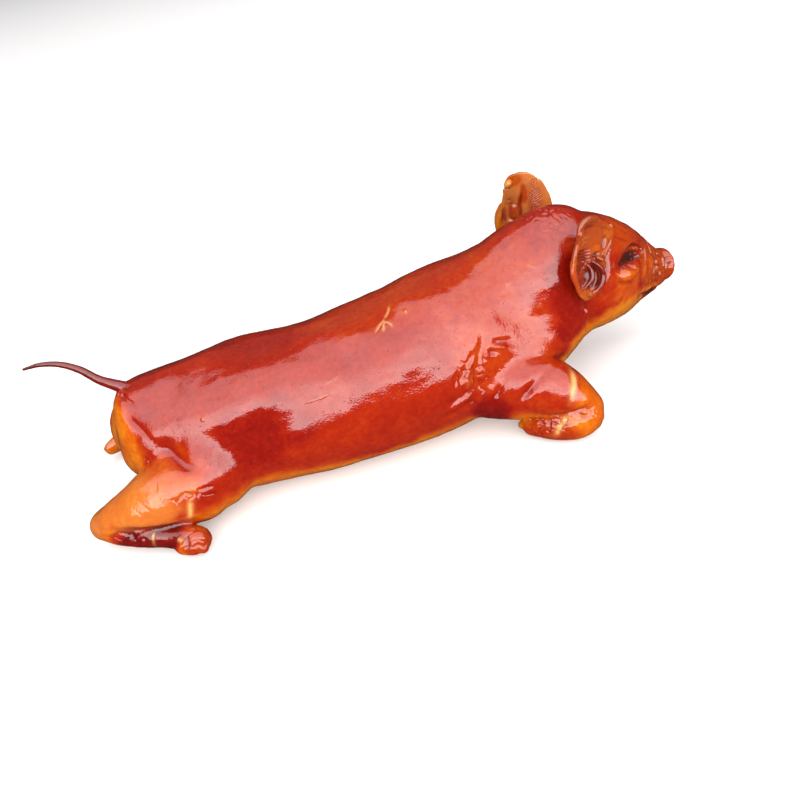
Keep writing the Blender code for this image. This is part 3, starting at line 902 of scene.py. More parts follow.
# Width, depth, painted values, then places: how far back from the snout, and degrees up.
HEAD_HOLLOWS = {
    "eye hollow": (6.2, 4, {}, ((95, 30), (78, 38), (63, 43))),
    "bag under the eye": (5.6, -4.2, {"tone": 0.5}, ((99, 14), (89, 17), (78, 24), (68, 30))),
    "cushion of the snout": (4.2, -2.2, {"tone": 0.5}, ((47, 42), (44, 27), (45, 12))),
}
HEAD_FOLDS = {
    "mouth": (1.7, 4.2, {"char": 0.8}, ((6, -62), (12, -56), (22, -45), (34, -33), (48, -24),
        (63.5, -17))),
    "dark of the mouth": (3.6, -0.6, {"tone": 0.05, "char": 0.35}, ((20, -55), (32, -44), (48, -31))),
    "corner of the mouth": (1.8, 2.2, {"char": 0.8}, ((56, -22), (67, -16))),
    "upper lip": (2.4, -1.6, {"tone": 0.9}, ((14, -38), (30, -28), (46, -18), (60, -11))),
    "pale line over the lip": (0.9, -0.6, {"pale": 0.35}, ((66, -12), (53, -9))),
    "over the eye": (2.6, 1.4, {"char": 0.75}, ((90, 34), (79, 40), (69, 44))),
    "golden lid": (1.8, -2, {"tone": 0.95, "char": 0.1}, ((76, 45), (70, 47), (65, 45))),
    "edge of the upper lid": (1.2, 2.4, {"char": 0.8}, ((90, 38), (79, 47), (69, 51), (61, 48),
        (60, 43))),
    # The dark of the eye and the slit are painted near black: partly the dried eye's colour, partly
    # painted shade of the deep slit.
    "dark of the eye": (4, 0.4, {"char": 1.0, "pale": 0.0}, ((96, 28), (86, 34), (76, 39), (64, 41))),
    "eye slit": (1.8, 4, {"char": 1.0}, ((99, 25), (91, 31), (76, 36.5), (62, 38))),
    # The pale on this small ridge of the lid is a painted highlight.
    "ridge of the lid with a painted glint": (1, -1.4, {"pale": 0.4, "char": 0.0}, ((63.5, 40), (57, 44))),
    "pale corner": (1.3, -0.4, {"pale": 0.12, "char": 0.0}, ((106.5, 24), (105.5, 30))),
    "red line of the eye": (0.9, 1.2, {"tone": 0.0, "char": 0.3}, ((99, 22), (91, 25.5))),
    "crease in the bag": (1.2, 1.4, {"tone": 0.3}, ((88, 26), (82, 20), (80, 14))),
    "crease under the bag": (1.6, 2.6, {"tone": 0.3, "char": 0.15}, ((106, 20), (99, 9), (88, 8),
        (77, 14), (68, 22))),
    "red spot": (3, 0.0, {"tone": 0.0}, ((87, 7), (84, 8))),
    "fold before the eye": (2, -1.6, {"tone": 0.55}, ((60, 36), (62, 18), (64, 4))),
    "first snout fold": (1.7, 2.4, {"char": 0.3}, ((50, 60), (53, 46), (55.6, 30), (57.8, 10),
        (56, -2))),
    "second snout fold": (1.6, 3, {"char": 0.4}, ((42, 84), (38.5, 62), (38.5, 45), (31, 36),
        (28.5, 14), (27, -6))),
    "third snout fold": (1.4, 2.6, {"char": 0.4}, ((26, 96), (23, 72), (22.5, 52), (16.5, 40), (16, 17),
        (13, -6))),
    "short snout fold": (1.2, 1.8, {"char": 0.3}, ((34, 30), (34.5, 12), (37.5, 0))),
    "low snout fold": (1.3, 1.6, {"char": 0.3}, ((20, 6), (22.5, -8), (20, -24))),
    "rim of the snout": (1.5, 2.2, {"char": 0.45}, ((9.5, 84), (8.5, 50), (11.5, 20), (10.5, -20))),
    "top snout fold": (1.3, 1.4, {"char": 0.3}, ((31, 100), (32.5, 78), (30, 58))),
    "small cheek fold": (1.4, 1.6, {"char": 0.5}, ((94, -8), (91, -14))),
    "crease behind the jaw": (3, 3.2, {}, ((140, 2), (130, -18), (121, -34), (115, -56))),
    "gold line behind the jaw": (1.1, 0.0, {"tone": 0.95, "pale": 0.06}, ((143, -4), (134, -16),
        (124, -30), (117, -48))),
    "crease at the ear's front": (2.4, 2.2, {"char": 0.35}, ((122, 62), (116, 44), (114, 26),
        (118, 10))),
    "line over the jaw": (0.8, 0.5, {"tone": 0.45}, ((124, -20), (114, -5), (105, 1), (97, 7))),
    "first fold of the brow": (1.6, 1.2, {"tone": 0.22}, ((106, 62), (92, 55), (78, 54))),
    "second fold of the brow": (1.4, 1, {"tone": 0.25}, ((100, 74), (82, 66), (64, 60))),
    "ridge beside the ear": (1.8, -1.4, {"pale": 0.05}, ((109, 58), (108, 48), (107, 38))),
    "spot on the jaw": (1.1, 0.8, {"char": 0.6}, ((87, -17), (85, -17))),
    "second spot on the jaw": (1, 0.8, {"char": 0.5}, ((84, -31), (82, -31))),
}

for folds in (HEAD_HOLLOWS, HEAD_FOLDS):
    skin.refresh()
    for place in (BAG_PLACE, *opposite([BAG_PLACE])):
        skin.lean(skin.on_head(*place), BAG_REACH, BAG_LEAN)
    work(folds.values(), skin.on_head, opposite)

# %% Nostrils
# In millimetres.
NOSTRIL_FROM_MIDDLE = 6.2
NOSTRIL_HALF_HEIGHT = 2
NOSTRIL_WIDTH = 3
NOSTRIL_DEPTH = 6.5


def press_nostrils():
    ahead, left, up = head_axes()
    for side in (-1, 1):
        middle = SNOUT + left * (side * NOSTRIL_FROM_MIDDLE / MM_PER_METRE)
        path = [middle + up * (step * NOSTRIL_HALF_HEIGHT / MM_PER_METRE) for step in (-1, 1)]
        skin.stroke(path, NOSTRIL_WIDTH, NOSTRIL_DEPTH, char=1.0)


press_nostrils()
print("strokes on the face:", 2 * (len(HEAD_HOLLOWS) + len(HEAD_FOLDS)) + 2)

# %% Crumpled skin
# Middle, radii, the size of a crease and its depth.
CRUMPLES = {
    "snout": ((264, 10, 70), (22, 20, 22), 8, 1),
    "eye": ((228, -26, 102), (16, 12, 10), 5.5, 0.8),
    "front foot": ((114, -108, 22), (14, 12, 9), 5.5, 1.2),
    "front toes": ((103, -96, 14), (10, 12, 10), 6, 0.8),
    "knee": ((140, -112, 30), (10, 10, 7), 5.5, 0.8),
    "over the thigh band": ((-181, -95, 49), (13, 8, 5), 5, 1.2),
    "hind hoof": ((-188, -108, 13), (14, 12, 12), 7, 0.8),
    "shank": ((-238, -84, 21), (22, 18, 9), 9, 0.7),
    "behind the shoulder": ((58, -82, 68), (14, 14, 22), 6.5, 0.8),
    "nape": ((158, -10, 150), (18, 20, 12), 7, 0.7),
    "root of the tail": ((-214, -4, 102), (10, 12, 10), 6, 0.8),
}
for middle, radii, size, depth in CRUMPLES.values():
    for side in (middle, *left_side([middle])):
        skin.crumple(metres(side), radii, size, depth)
print("crumpled places:", 2 * len(CRUMPLES))

# %% [markdown]
# ## Where the glaze is deep and where it is thin, and where light is painted
#
# Maltose glaze runs down and gathers. It lies deepest red before the ham, and thins to amber
# along the belly's edge, over the knuckles and under the jaw, where fat and light come through.
# The gold on the belly's edge, the throat and the jaw is partly that thin glaze and partly painted
# warm light thrown up from below. Behind and under the ears the deeper red is painted shade. These
# are washes: soft ellipsoids with ragged edges, painted over each other on both sides alike. They
# belong under the colours of the folds, so those are set aside first and added back on top.

# %% Washes of colour
# Middle, radii and painted values.
WASHES = {
    "back": ((40, -12, 128), (110, 50, 26), {"tone": 0.50}),
    "flank before the ham": ((-112, -78, 72), (42, 26, 30), {"tone": 0.24}),
    "low flank": ((-30, -85, 45), (80, 22, 20), {"tone": 0.40}),
    "side of the shoulder": ((95, -70, 85), (50, 30, 40), {"tone": 0.50}),
    "rump": ((-228, -24, 66), (20, 46, 40), {"tone": 0.92}),
    "ham": ((-196, -80, 58), (30, 24, 22), {"tone": 0.72}),
    # The pale on the thigh and the hock is a painted soft highlight.
    "thigh": ((-224, -80, 44), (44, 30, 18), {"tone": 0.84, "pale": 0.14}),
    "hock": ((-266, -66, 28), (12, 16, 14), {"tone": 0.80, "pale": 0.20}),
    "shank": ((-222, -96, 16), (40, 18, 11), {"tone": 0.10}),
    "hind hoof": ((-184, -110, 12), (12, 13, 14), {"tone": 0.58, "char": 0.10}),
    "elbow": ((70, -88, 36), (16, 16, 16), {"tone": 0.14}),
    "forearm": ((108, -96, 52), (26, 22, 16), {"tone": 0.44}),
    "wrist": ((150, -104, 26), (20, 24, 26), {"tone": 0.86}),
    "front foot": ((112, -108, 14), (24, 20, 12), {"tone": 0.52, "char": 0.06}),
    # The gold of the throat and the jaw is partly painted warm light from below; under and behind the
    # ear the deeper red is painted shade.
    "throat": ((158, -44, 46), (26, 30, 20), {"tone": 0.95}),
    "painted shade under the ear": ((154, -58, 76), (18, 16, 11), {"tone": 0.24}),
    "painted shade behind the ear": ((158, -52, 108), (20, 22, 26), {"tone": 0.20}),
    "jaw": ((206, -34, 62), (42, 34, 15), {"tone": 0.96}),
    "cheek": ((212, -42, 88), (22, 16, 14), {"tone": 0.72}),
    "cheek by the ear": ((190, -50, 94), (12, 14, 14), {"tone": 0.46}),
    "forehead": ((222, -6, 122), (30, 34, 14), {"tone": 0.60, "char": 0.04}),
    "face": ((246, -12, 85), (16, 26, 20), {"tone": 0.66, "char": 0.12}),
    "snout": ((270, 12, 70), (18, 22, 20), {"tone": 0.68, "char": 0.22}),
}
# Heights in millimetres.
BELLY_EDGE_TOP = 40
BELLY_EDGE_BOTTOM = 24
BELLY_EDGE_RAGGED = 4
BELLY_TONE = 0.92


def paint_belly():
    """Paints the belly's edge gold: thinner glaze there, and partly painted warm light from below."""
    height = MM_PER_METRE * skin.points[:, 2] + BELLY_EDGE_RAGGED * skin.ragged
    fall = smooth((BELLY_EDGE_TOP - height) / (BELLY_EDGE_TOP - BELLY_EDGE_BOTTOM))
    skin.blend(np.arange(len(fall)), fall, {"tone": BELLY_TONE})


def paint_washes():
    for middle, radii, colours in WASHES.values():
        for side in (middle, *left_side([middle])):
            skin.wash(metres(side), radii, **colours)


folds_of_colour = skin.paint
skin.paint = skin.plain_paint()
paint_belly()
paint_washes()
for name, plain in PLAIN_PAINT.items():
    skin.paint[name] = np.clip(skin.paint[name] + (folds_of_colour[name] - plain), 0, 1)
print("washes:", 2 * len(WASHES) + 1)

# %% Streaks, pale bands and small marks
DARKER = {"tone": 0.30}
STREAKS_ON_THE_RUMP = (
    (2.4, 1, DARKER, ((-216, 40), (-207, 26), (-198, 12))),
    (5.2, 2.2, DARKER, ((-200, 13), (-189, 6), (-178, 2), (-166, -2))),
)
# Pale grooves, such as ties round the legs would leave, with no glaze on the skin in them.
BAND_DEPTH = 0.7
UNGLAZED = {"pale": 0.85, "char": 0.0}
PALE_BANDS = (
    (1.9, BAND_DEPTH, UNGLAZED, ((-181, -96.5, 47), (-184, -98, 37), (-188, -96, 27))),
    (1.1, BAND_DEPTH, UNGLAZED, ((-215, -95.5, 29), (-218, -94, 19), (-220, -96.5, 12))),
    (2.6, BAND_DEPTH, UNGLAZED, ((137, -89, 54.5), (134, -103, 50), (128, -111, 40))),
    (2.2, BAND_DEPTH, UNGLAZED, ((126, -112, 30), (119, -112, 21), (112, -112, 10))),
)
# Marks and blisters are on the right side alone: width, depth, painted values, then paths.
MARKS = {
    "crack": (0.8, 0.5, {"pale": 0.6}, (
        ((12, 79), (9, 73), (4, 68)), ((4, 68), (-2, 63), (-7, 58)),
        ((4, 68), (2, 62), (0, 57)), ((3, 66), (7, 62), (8, 58)))),
    "scratches": (0.7, -0.3, {"pale": 0.14}, (
        ((-77, 26), (-66, 26), (-56, 27), (-47, 29)), ((-56, 35), (-49, 36), (-42, 38)),
        ((128, 56), (131, 52), (136, 49)))),
}
BLISTERS = ((19, 67), (22, 66), (-155, 30), (108, 50))
# In millimetres.
BLISTER_LENGTH = 0.8
BLISTER_WIDTH = 1.8
BLISTER_HEIGHT = 1.4
BLISTER_PAINT = {"tone": 0.85, "pale": 0.3}

work(STREAKS_ON_THE_RUMP, skin.on_trunk, opposite)
work(PALE_BANDS, skin.nearest, left_side)
for width, depth, colours, paths in MARKS.values():
    for places in paths:
        skin.stroke([skin.on_trunk(*place) for place in places], width, depth, **colours)
for place in BLISTERS:
    spot = skin.on_trunk(*place)
    path = (spot, spot + Vector((BLISTER_LENGTH / MM_PER_METRE, 0, 0)))
    skin.stroke(path, BLISTER_WIDTH, -BLISTER_HEIGHT, **BLISTER_PAINT)
print("pale bands:", 2 * len(PALE_BANDS), "and blisters:", len(BLISTERS))

# %% [markdown]
# ## Unevenness, and thinning
#
# Nothing on an animal is a clean curve, and a mirror shows it. Gentle ripples of several sizes
# bend the highlight's edges, and one is drawn out along the body like the grain of skin. The skin
# is then thinned: Decimate keeps small triangles in the folds and the face and spends few on the
# plain flanks. Painted values ride along as attributes.

# %% Ripples and thinning
# Size, height, a shift of the noise and, for the last, how far it is drawn out.
RIPPLES = (
    (36, 1.1, 3.0),
    (15, 0.4, 7.0),
    (6.5, 0.2, 11.0),
    (7, 0.2, 5.0, 5.0),
)
SKIN_TRIANGLES = 180000
# In metres.
FLAT_WITHIN = 0.0004
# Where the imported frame's origin lies among these tables' places.
ORIGIN = Vector(metres((-0.3, -3, 0)))


def thinned(mesh, triangles):
    mesh.calc_loop_triangles()
    ratio = min(1.0, triangles / len(mesh.loop_triangles))
    return evaluated(mesh, ("DECIMATE", {"ratio": ratio, "use_collapse_triangulate": True}))


def settle_on_floor(mesh):
    """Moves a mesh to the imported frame, with nothing under the surface that it rests on."""
    for vertex in mesh.vertices:
        vertex.co -= ORIGIN
        if vertex.co.z < FLAT_WITHIN:
            vertex.co.z = 0.0


def as_piece(mesh, name):
    mesh.shade_smooth()
    mesh.name = name
    return shown(mesh, name)


for ripple in RIPPLES:
    skin.ripple(*ripple)
skin.write_back()
light_skin = thinned(skin.mesh, SKIN_TRIANGLES)
settle_on_floor(light_skin)
roasted_skin = as_piece(light_skin, "roasted_skin")
print("the skin has", len(light_skin.polygons), "triangles")

# %% [markdown]
# ## The ears
#
# Ears have dried stiff. Each is a thin shell: ribs set across a middle line, bent hollow and with
# edges that roll in. Tubes add its rims and folds. All are melted like the body, at a finer voxel,
# because their wrinkles are only a millimetre apart. An ear stands almost flat to the eye, so a
# flat map over it, across, up and out, is the easiest way to say where things are.

# %% Ears as shells
RIB_STEPS = 14
EDGE_ROLL_STARTS = 0.7
EAR_EASING = 4
# In metres.
EAR_THICKNESS = 0.0036
EAR_VOXEL = 0.00062
# In millimetres.
EAR_MIDDLE_OUT = -4
EAR_REACH = 35


class EarPlace:
    """A flat map over an ear: across and up as we see it, and out towards the eye."""

    def __init__(self, middle, out):
        self.middle = Vector(metres(middle))
        self.out = Vector(out).normalized()
        self.across = Vector((-self.out.y, self.out.x, 0)).normalized()
        self.up = self.out.cross(self.across)

    def at(self, across, up, out=0.0):
        """The place in metres of a spot given in millimetres."""
        across, up, out = metres((across, up, out))
        return self.middle + self.across * across + self.up * up + self.out * out

    def rows(self, given):
        """Rows of a spot, a size and whatever follows, with the spot and the size in metres."""
        return [(*self.at(*row[:3]), row[3] / MM_PER_METRE, *row[4:]) for row in given]


def shell(bm, rows, face, roll, front):
    """An ear: ribs bent across its length, hollow towards `face`, with edges that roll in.

    The front half of each rib takes the share `front` of the bend. Below zero it bends back, so
    that the ear's front edge runs into the head.
    """
    run = eased(rows)
    rings = []
    for i, (x, y, z, half, bend) in enumerate(run):
        along = Vector(run[min(i + 1, len(run) - 1)][:3] - run[max(i - 1, 0)][:3]).normalized()
        across = along.cross(face).normalized()
        out = across.cross(along)
        step = half / RIB_STEPS
        wings = []
        for share in (1.0, front):
            wing = [(0.0, 0.0, 0.0)]
            for k in range(RIB_STEPS):
                u = (k + 0.5) / RIB_STEPS
                curl = max(0.0, (u - EDGE_ROLL_STARTS) / (1 - EDGE_ROLL_STARTS))
                heading = bend * u * share + roll * curl ** 2 * max(share, 0.0)
                a, o, _ = wing[-1]
                wing.append((a + step * math.cos(heading), o + step * math.sin(heading), heading))
            wings.append(wing)
        strip = [(-a, o, -h) for a, o, h in wings[0][:0:-1]] + wings[1]
        middle = Vector((x, y, z))
        ring = []
        for run_of_rib, off in ((strip, EAR_THICKNESS / 2), (strip[::-1], -EAR_THICKNESS / 2)):
            for a, o, h in run_of_rib:
                inward = out * math.cos(h) - across * math.sin(h)
                ring.append(middle + across * a + out * o + inward * off)
        rings.append(ring)
    loft(bm, rings)


def ear_skin(place, ribs, face, roll, front, folds):
    bm = bmesh.new()
    shell(bm, place.rows(ribs), face, roll, front)
    for fold in folds.values():
        tube(bm, place.rows(fold))
    return Skin(settle(bm, EAR_VOXEL, EAR_EASING))


def work_ear(ear, place, washes, wrinkles):
    """Paints an ear and presses its wrinkles on both sides, all placed on its map."""
    for (across, up, out), radii, colours in washes.values():
        ear.wash(place.at(across, up, out), radii, **colours)
    for width, depth, colours, path in wrinkles:
        for away in (place.out, -place.out):
            spots = [place.at(*spot, EAR_MIDDLE_OUT) for spot in path]
            met = [ear.met_from_outside(spot, away, EAR_REACH) for spot in spots]
            ear.stroke(met, width, depth, **colours)


print("an ear is", EAR_THICKNESS * MM_PER_METRE, "mm thick")

# %% [markdown]
# ## The right ear
#
# We look into its hollow. The upper half is a leathery cup with a thick rim rolled over it. Then
# comes a narrow waist, pleated where the ear was bent, and under it the lobe, where the gristle of
# the ear's inside has shrunk into two glossy crescents.

# %% The right ear's form
RIGHT_EAR_PLACE = EarPlace((176.5, -55, 100), (0.25, -0.93, 0.25))
RIGHT_EAR_ROLL = 0.8
RIGHT_EAR_FRONT = -0.35
# Across, up and out, then half the width along the skin, and the bend in radians.
RIGHT_EAR = (
    (-0.5, -3.4, 1, 6.8, 0.3),
    (-1, -0.8, 1, 11.2, 0.5),
    (-1.5, 3, 0.8, 15, 0.7),
    (-2.2, 7.8, 0.6, 18.2, 0.8),
    (-2.8, 13, 0.4, 20.5, 0.9),
    (-2, 19, 0, 22.4, 0.9),
    (0.3, 27, -0.5, 22.8, 0.9),
    (4.5, 33.5, -1.5, 21.2, 0.9),
    (9, 39.5, -2, 22, 0.9),
    (11, 44.5, -1.5, 25, 1.0),
    (12.8, 49.5, 0, 24.8, 1.1),
    (14, 52.4, 1.5, 21.2, 1.0),
    (15.7, 54.6, 3, 16, 0.9),
    (17, 56.2, 4.5, 10, 0.6),
)
# Across, up and out, then a radius.
RIGHT_EAR_FOLDS = {
    "rolled rim": ((-8.5, 44.5, 8, 1.4), (-7.2, 53, 9, 2), (-2.5, 58.8, 9.5, 2.6),
        (4.5, 60.4, 9.2, 2.8), (12.5, 58.5, 7.2, 2.4)),
    "band down the front": ((33, 45, -3, 1.6), (34, 39.5, -4.5, 2.2), (30.8, 32.2, -5, 2.2),
        (25, 27.2, -3.5, 2), (19, 24.5, -0.5, 1.5)),
    "root of the front": ((31.5, 42, -11, 4), (30, 36, -11, 5), (25.5, 30, -8.5, 5)),
    "inner crescent": ((-1.4, 23.6, 3, 1.4), (0.4, 18, 4.5, 2), (-1.2, 12.2, 5, 2.2),
        (-6, 8.5, 4.5, 1.8), (-11, 7.5, 5, 1.2)),
    "outer crescent": ((3.5, 25, 3.5, 1.4), (8.2, 18.5, 5.5, 2.3), (9.2, 11, 6, 2.6),
        (5.5, 4.5, 6, 2.6), (-0.5, 1, 5, 2), (-7, 1.8, 5, 1.4)),
    "edge of the lobe": ((-18, 33, 7, 1.3), (-20.4, 27, 8, 1.5), (-20.6, 19, 8, 1.6),
        (-17.2, 10.5, 7.5, 1.6), (-11, 3, 6, 1.5), (-3, -1.8, 3.5, 1.4)),
    "lump in the recess": ((10, 26, 2, 1.6), (12.8, 22.8, 3.5, 1.8)),
}
right_ear_skin = ear_skin(
    RIGHT_EAR_PLACE, RIGHT_EAR, RIGHT_EAR_PLACE.out, RIGHT_EAR_ROLL, RIGHT_EAR_FRONT, RIGHT_EAR_FOLDS)
print("right ear points:", len(right_ear_skin.points))

# %% The right ear's wrinkles
LOBE_MIDDLE = (-3.5, 15)
LOBE_REACH = (6.5, 16)
LOBE_WRINKLE_DEGREES = range(96, 268, 13)
WAIST_HEIGHTS = (29, 31.5, 34, 36.5)
PLEAT = (0.9, 1.4, {"tone": 0.12, "char": 0.40})
# Width, depth, painted values, then places across and up.
RIGHT_EAR_WRINKLES = [
    # The two pale ridges below are painted highlights; the recess by the root and the gap beside the
    # lump are painted dark as their shade.
    (1.2, -1.1, {"pale": 0.22}, ((-3.5, 44), (2, 45.5), (8.5, 44))),
    (1, -0.9, {"pale": 0.18}, ((-4, 40.5), (1, 42), (7, 40.5))),
    (1.2, 1, {"tone": 0.2}, ((-2, 52), (6, 53.5), (15, 50.5))),
    (1.5, 2.4, {"char": 0.65}, ((25.5, 40.5), (22.8, 34.5), (18.5, 29.8))),
    (1.4, 2, {"char": 0.75}, ((15, 28.5), (10.5, 28.5), (6, 27.5))),
    (1.3, 1.6, {"tone": 0.05, "char": 0.45}, ((2, 22.5), (4.4, 16.5), (3.4, 10.5), (-1.5, 6),
        (-7.5, 5.2))),
    (1.7, 1.8, {"char": 0.5}, ((-4, 22), (-4.2, 16.5), (-7, 12.5))),
    (1.2, 1.4, {"char": 0.6}, ((13, 19), (13, 10), (9, 2))),
]
for height in WAIST_HEIGHTS:
    RIGHT_EAR_WRINKLES.append((*PLEAT, ((-12, height + 2), (-4, height), (5, height - 2))))
for degrees in LOBE_WRINKLE_DEGREES:
    turn = math.radians(degrees)
    spots = [(LOBE_MIDDLE[0] + reach * math.cos(turn), LOBE_MIDDLE[1] + reach * math.sin(turn))
             for reach in LOBE_REACH]
    RIGHT_EAR_WRINKLES.append((*PLEAT, spots))
# Middle, radii and painted values.
RIGHT_EAR_WASHES = {
    "all of it": ((8, 28, 0.0), (60, 60, 60), {"tone": 0.64, "pale": 0.03, "char": 0.24}),
    "cup": ((9, 45, 0.0), (18, 13, 9), {"tone": 0.62, "pale": 0.05, "char": 0.20}),
    "rim": ((2, 60, 10), (18, 10, 5), {"tone": 0.50, "pale": 0.10, "char": 0.34}),
    "gold by the recess": ((27.5, 43, 0), (5, 9, 8), {"tone": 0.76, "char": 0.05}),
    "gold over the waist": ((12, 32, 0.0), (5, 8, 3.5), {"tone": 0.74, "char": 0.10}),
    "lobe": ((-4, 16, 3), (19, 12, 16), {"tone": 0.56, "char": 0.30}),
    "edge of the lobe": ((-18, 20, 6), (6, 10, 16), {"tone": 0.66, "char": 0.14}),
    "foot of the lobe": ((-10, 3, 5), (10, 10, 5), {"tone": 0.85, "char": 0.18}),
    "crescents": ((1, 14, 8), (10, 9, 12), {"tone": 0.20, "pale": 0.0, "char": 0.42}),
}
work_ear(right_ear_skin, RIGHT_EAR_PLACE, RIGHT_EAR_WASHES, RIGHT_EAR_WRINKLES)
print("wrinkles on the right ear:", len(RIGHT_EAR_WRINKLES))

# %% [markdown]
# ## The left ear
#
# It stands up, and from the pig's right we see its back: a rolled outer edge, a shallow dish, a
# crease, and then fine slanting ridges as close as hairs. Its hollow side faces away.

# %% The left ear's form
LEFT_EAR_PLACE = EarPlace((158, 40, 128), (-0.40, -0.90, -0.10))
LEFT_EAR_ROLL = 0.2
LEFT_EAR_FRONT = 1.0
LEFT_EAR = (
    (0, -33, -8, 20, 0.8),
    (-1.5, -22, -8, 27, 0.8),
    (-2.5, -7.2, -8, 30.5, 0.8),
    (-0.5, 4, -8, 28.2, 0.75),
    (1.8, 13.5, -8, 23, 0.7),
    (1, 24, -8, 19.2, 0.6),
    (-1.8, 31.5, -8, 17.4, 0.5),
    (-3.2, 36.5, -8, 15, 0.45),
    (-4.7, 41, -8, 12.2, 0.4),
    (-5.8, 44.3, -8, 8.8, 0.35),
    (-6.4, 46.6, -8, 4.5, 0.3),
)
LEFT_EAR_FOLDS = {
    "knob": ((-13.5, 38, -6, 2.8), (-11.8, 39.2, -6, 2.8)),
    "outer edge": ((-17.6, 27, -10, 1), (-18.8, 19, -11.5, 1.8), (-21.4, 10, -12, 2.6),
        (-25, 1, -12.5, 3.2), (-26.2, -8, -12.5, 3.4), (-23.5, -15, -12, 3)),
}
left_ear_skin = ear_skin(
    LEFT_EAR_PLACE, LEFT_EAR, -LEFT_EAR_PLACE.out, LEFT_EAR_ROLL, LEFT_EAR_FRONT, LEFT_EAR_FOLDS)
print("left ear points:", len(left_ear_skin.points))

# %% The left ear's ridges
RIDGE_COUNT = 22
RIDGE_LOWEST = -11
RIDGE_STEP = 2.1
RIDGE_LINE = ((1.2, 0), (9, 5.6), (17.8, 9.4))
RIDGE = (0.6, 1, {"tone": 0.36, "pale": 0.0, "char": 0.12})
LEFT_EAR_WRINKLES = [
    (1.4, 3, {"char": 0.6}, ((-17, 33.5), (-11, 35))),
    # This wide groove is the shallow dish; its faint pale is a painted sheen.
    (5, 2.2, {"tone": 0.42, "pale": 0.05}, ((-9.8, 19), (-11, 9), (-11.8, -2))),
    (1.8, 1.8, {"tone": 0.35, "pale": 0.0, "char": 0.10}, ((0.2, 31), (-4.2, 20), (-5, 10), (-4, -3))),
    (1.2, 1.4, {"char": 0.6}, ((-14.2, 21.2), (-13, 20.5))),
    (1.1, 1.2, {"char": 0.6}, ((-12.2, 18.8), (-11.2, 18.2))),
    (2, 1.6, {"tone": 0.2}, ((-19, 15), (-20, 5), (-20.5, -6))),
]
for k in range(RIDGE_COUNT):
    low = RIDGE_LOWEST + RIDGE_STEP * k
    LEFT_EAR_WRINKLES.append((*RIDGE, [(across, low + up) for across, up in RIDGE_LINE]))
LEFT_EAR_WASHES = {
    # The pale over all of it is a painted sheen of reflected light.
    "all of it": ((0.0, 10, 0.0), (70, 70, 80), {"tone": 0.74, "pale": 0.25, "char": 0.03}),
    "top": ((-10, 42, -8), (9, 14, 6), {"tone": 0.80, "pale": 0.0, "char": 0.12}),
    "red of the fold": ((0, 28, -6), (3, 6, 10), {"tone": 0.62, "pale": 0.04}),
    "knob": ((-12.7, 38.6, -5), (3.4, 6, 3.4), {"tone": 1.0, "pale": 0.2, "char": 0.0}),
    "outer edge": ((-24.5, 4, -10), (5, 12, 14), {"tone": 0.90, "pale": 0.10}),
    "gold at its foot": ((-25, -8, -10), (6.5, 12, 7), {"tone": 1.0, "pale": 0.0}),
    "foot": ((2, -12, -8), (26, 14, 6), {"tone": 0.42, "pale": 0.0}),
}
work_ear(left_ear_skin, LEFT_EAR_PLACE, LEFT_EAR_WASHES, LEFT_EAR_WRINKLES)
print("wrinkles on the left ear:", len(LEFT_EAR_WRINKLES))

# %% Ears as pieces
EAR_TRIANGLES = 60000
EAR_RIPPLES = (
    (12, 0.35, 5.0),
    (4, 0.12, 9.0),
)


def finished_ear(ear, name):
    for ripple in EAR_RIPPLES:
        ear.ripple(*ripple)
    ear.write_back()
    mesh = thinned(ear.mesh, EAR_TRIANGLES)
    settle_on_floor(mesh)
    return as_piece(mesh, name)


right_ear = finished_ear(right_ear_skin, "right_ear")
left_ear = finished_ear(left_ear_skin, "left_ear")
print("ear triangles:", len(right_ear.data.polygons), len(left_ear.data.polygons))

# %% [markdown]
# ## The tail
#
# A tail follows a path and only thins as it goes, which is what Geometry Nodes do well. A line
# of points carries its own girth as an attribute. The tree turns the line into a curve, sweeps a
# circle of that girth along it and roughens the result with noise. It ends in Realize Instances
# and Set Material, and the result is taken as a plain mesh.

# %% The tail's tree
TAIL = (
    (-208, -2, 98, 7.8),
    (-218.5, 0, 106.5, 5),
    (-231, 3, 115, 3.7),
    (-243, 8, 126, 3.1),
    (-257, 13, 133, 2.5),
    (-273, 18, 135, 1.9),
    (-288, 22, 133, 1),
)
TAIL_STEPS = 10
TAIL_SIZES = {"Sides": 20, "Wrinkle Height": 0.0005, "Wrinkles per Metre": 420.0, "Seed": 4.0}


def new_tree(name, sizes):
    """A Geometry Nodes tree with a geometry in and out and an input for each named size."""
    tree = bpy.data.node_groups.new(name, "GeometryNodeTree")
    tree.interface.new_socket("Geometry", in_out="INPUT", socket_type="NodeSocketGeometry")
    for label, value in sizes.items():
        kind = "NodeSocketInt" if isinstance(value, int) else "NodeSocketFloat"
        tree.interface.new_socket(label, in_out="INPUT", socket_type=kind).default_value = value
    tree.interface.new_socket("Geometry", in_out="OUTPUT", socket_type="NodeSocketGeometry")
    return tree


def close_tree(tree, geometry, material):
    """Every tree ends the same way: instances made real, and the material set."""
    real = put(tree, "GeometryNodeRealizeInstances", Geometry=geometry)
    coloured = put(tree, "GeometryNodeSetMaterial", Geometry=real.outputs["Geometry"], Material=material)
    put(tree, "NodeGroupOutput", Geometry=coloured.outputs["Geometry"])


def grown(mesh, tree, sizes):
    """Runs a tree on a mesh with the given sizes and returns the result as a plain mesh."""
    holder = shown(mesh, "holder")
    modifier = holder.modifiers.new("tree", "NODES")
    modifier.node_group = tree
    for item in tree.interface.items_tree:
        if item.in_out == "INPUT" and item.name in sizes:
            modifier[item.identifier] = sizes[item.name]
    return taken(holder)


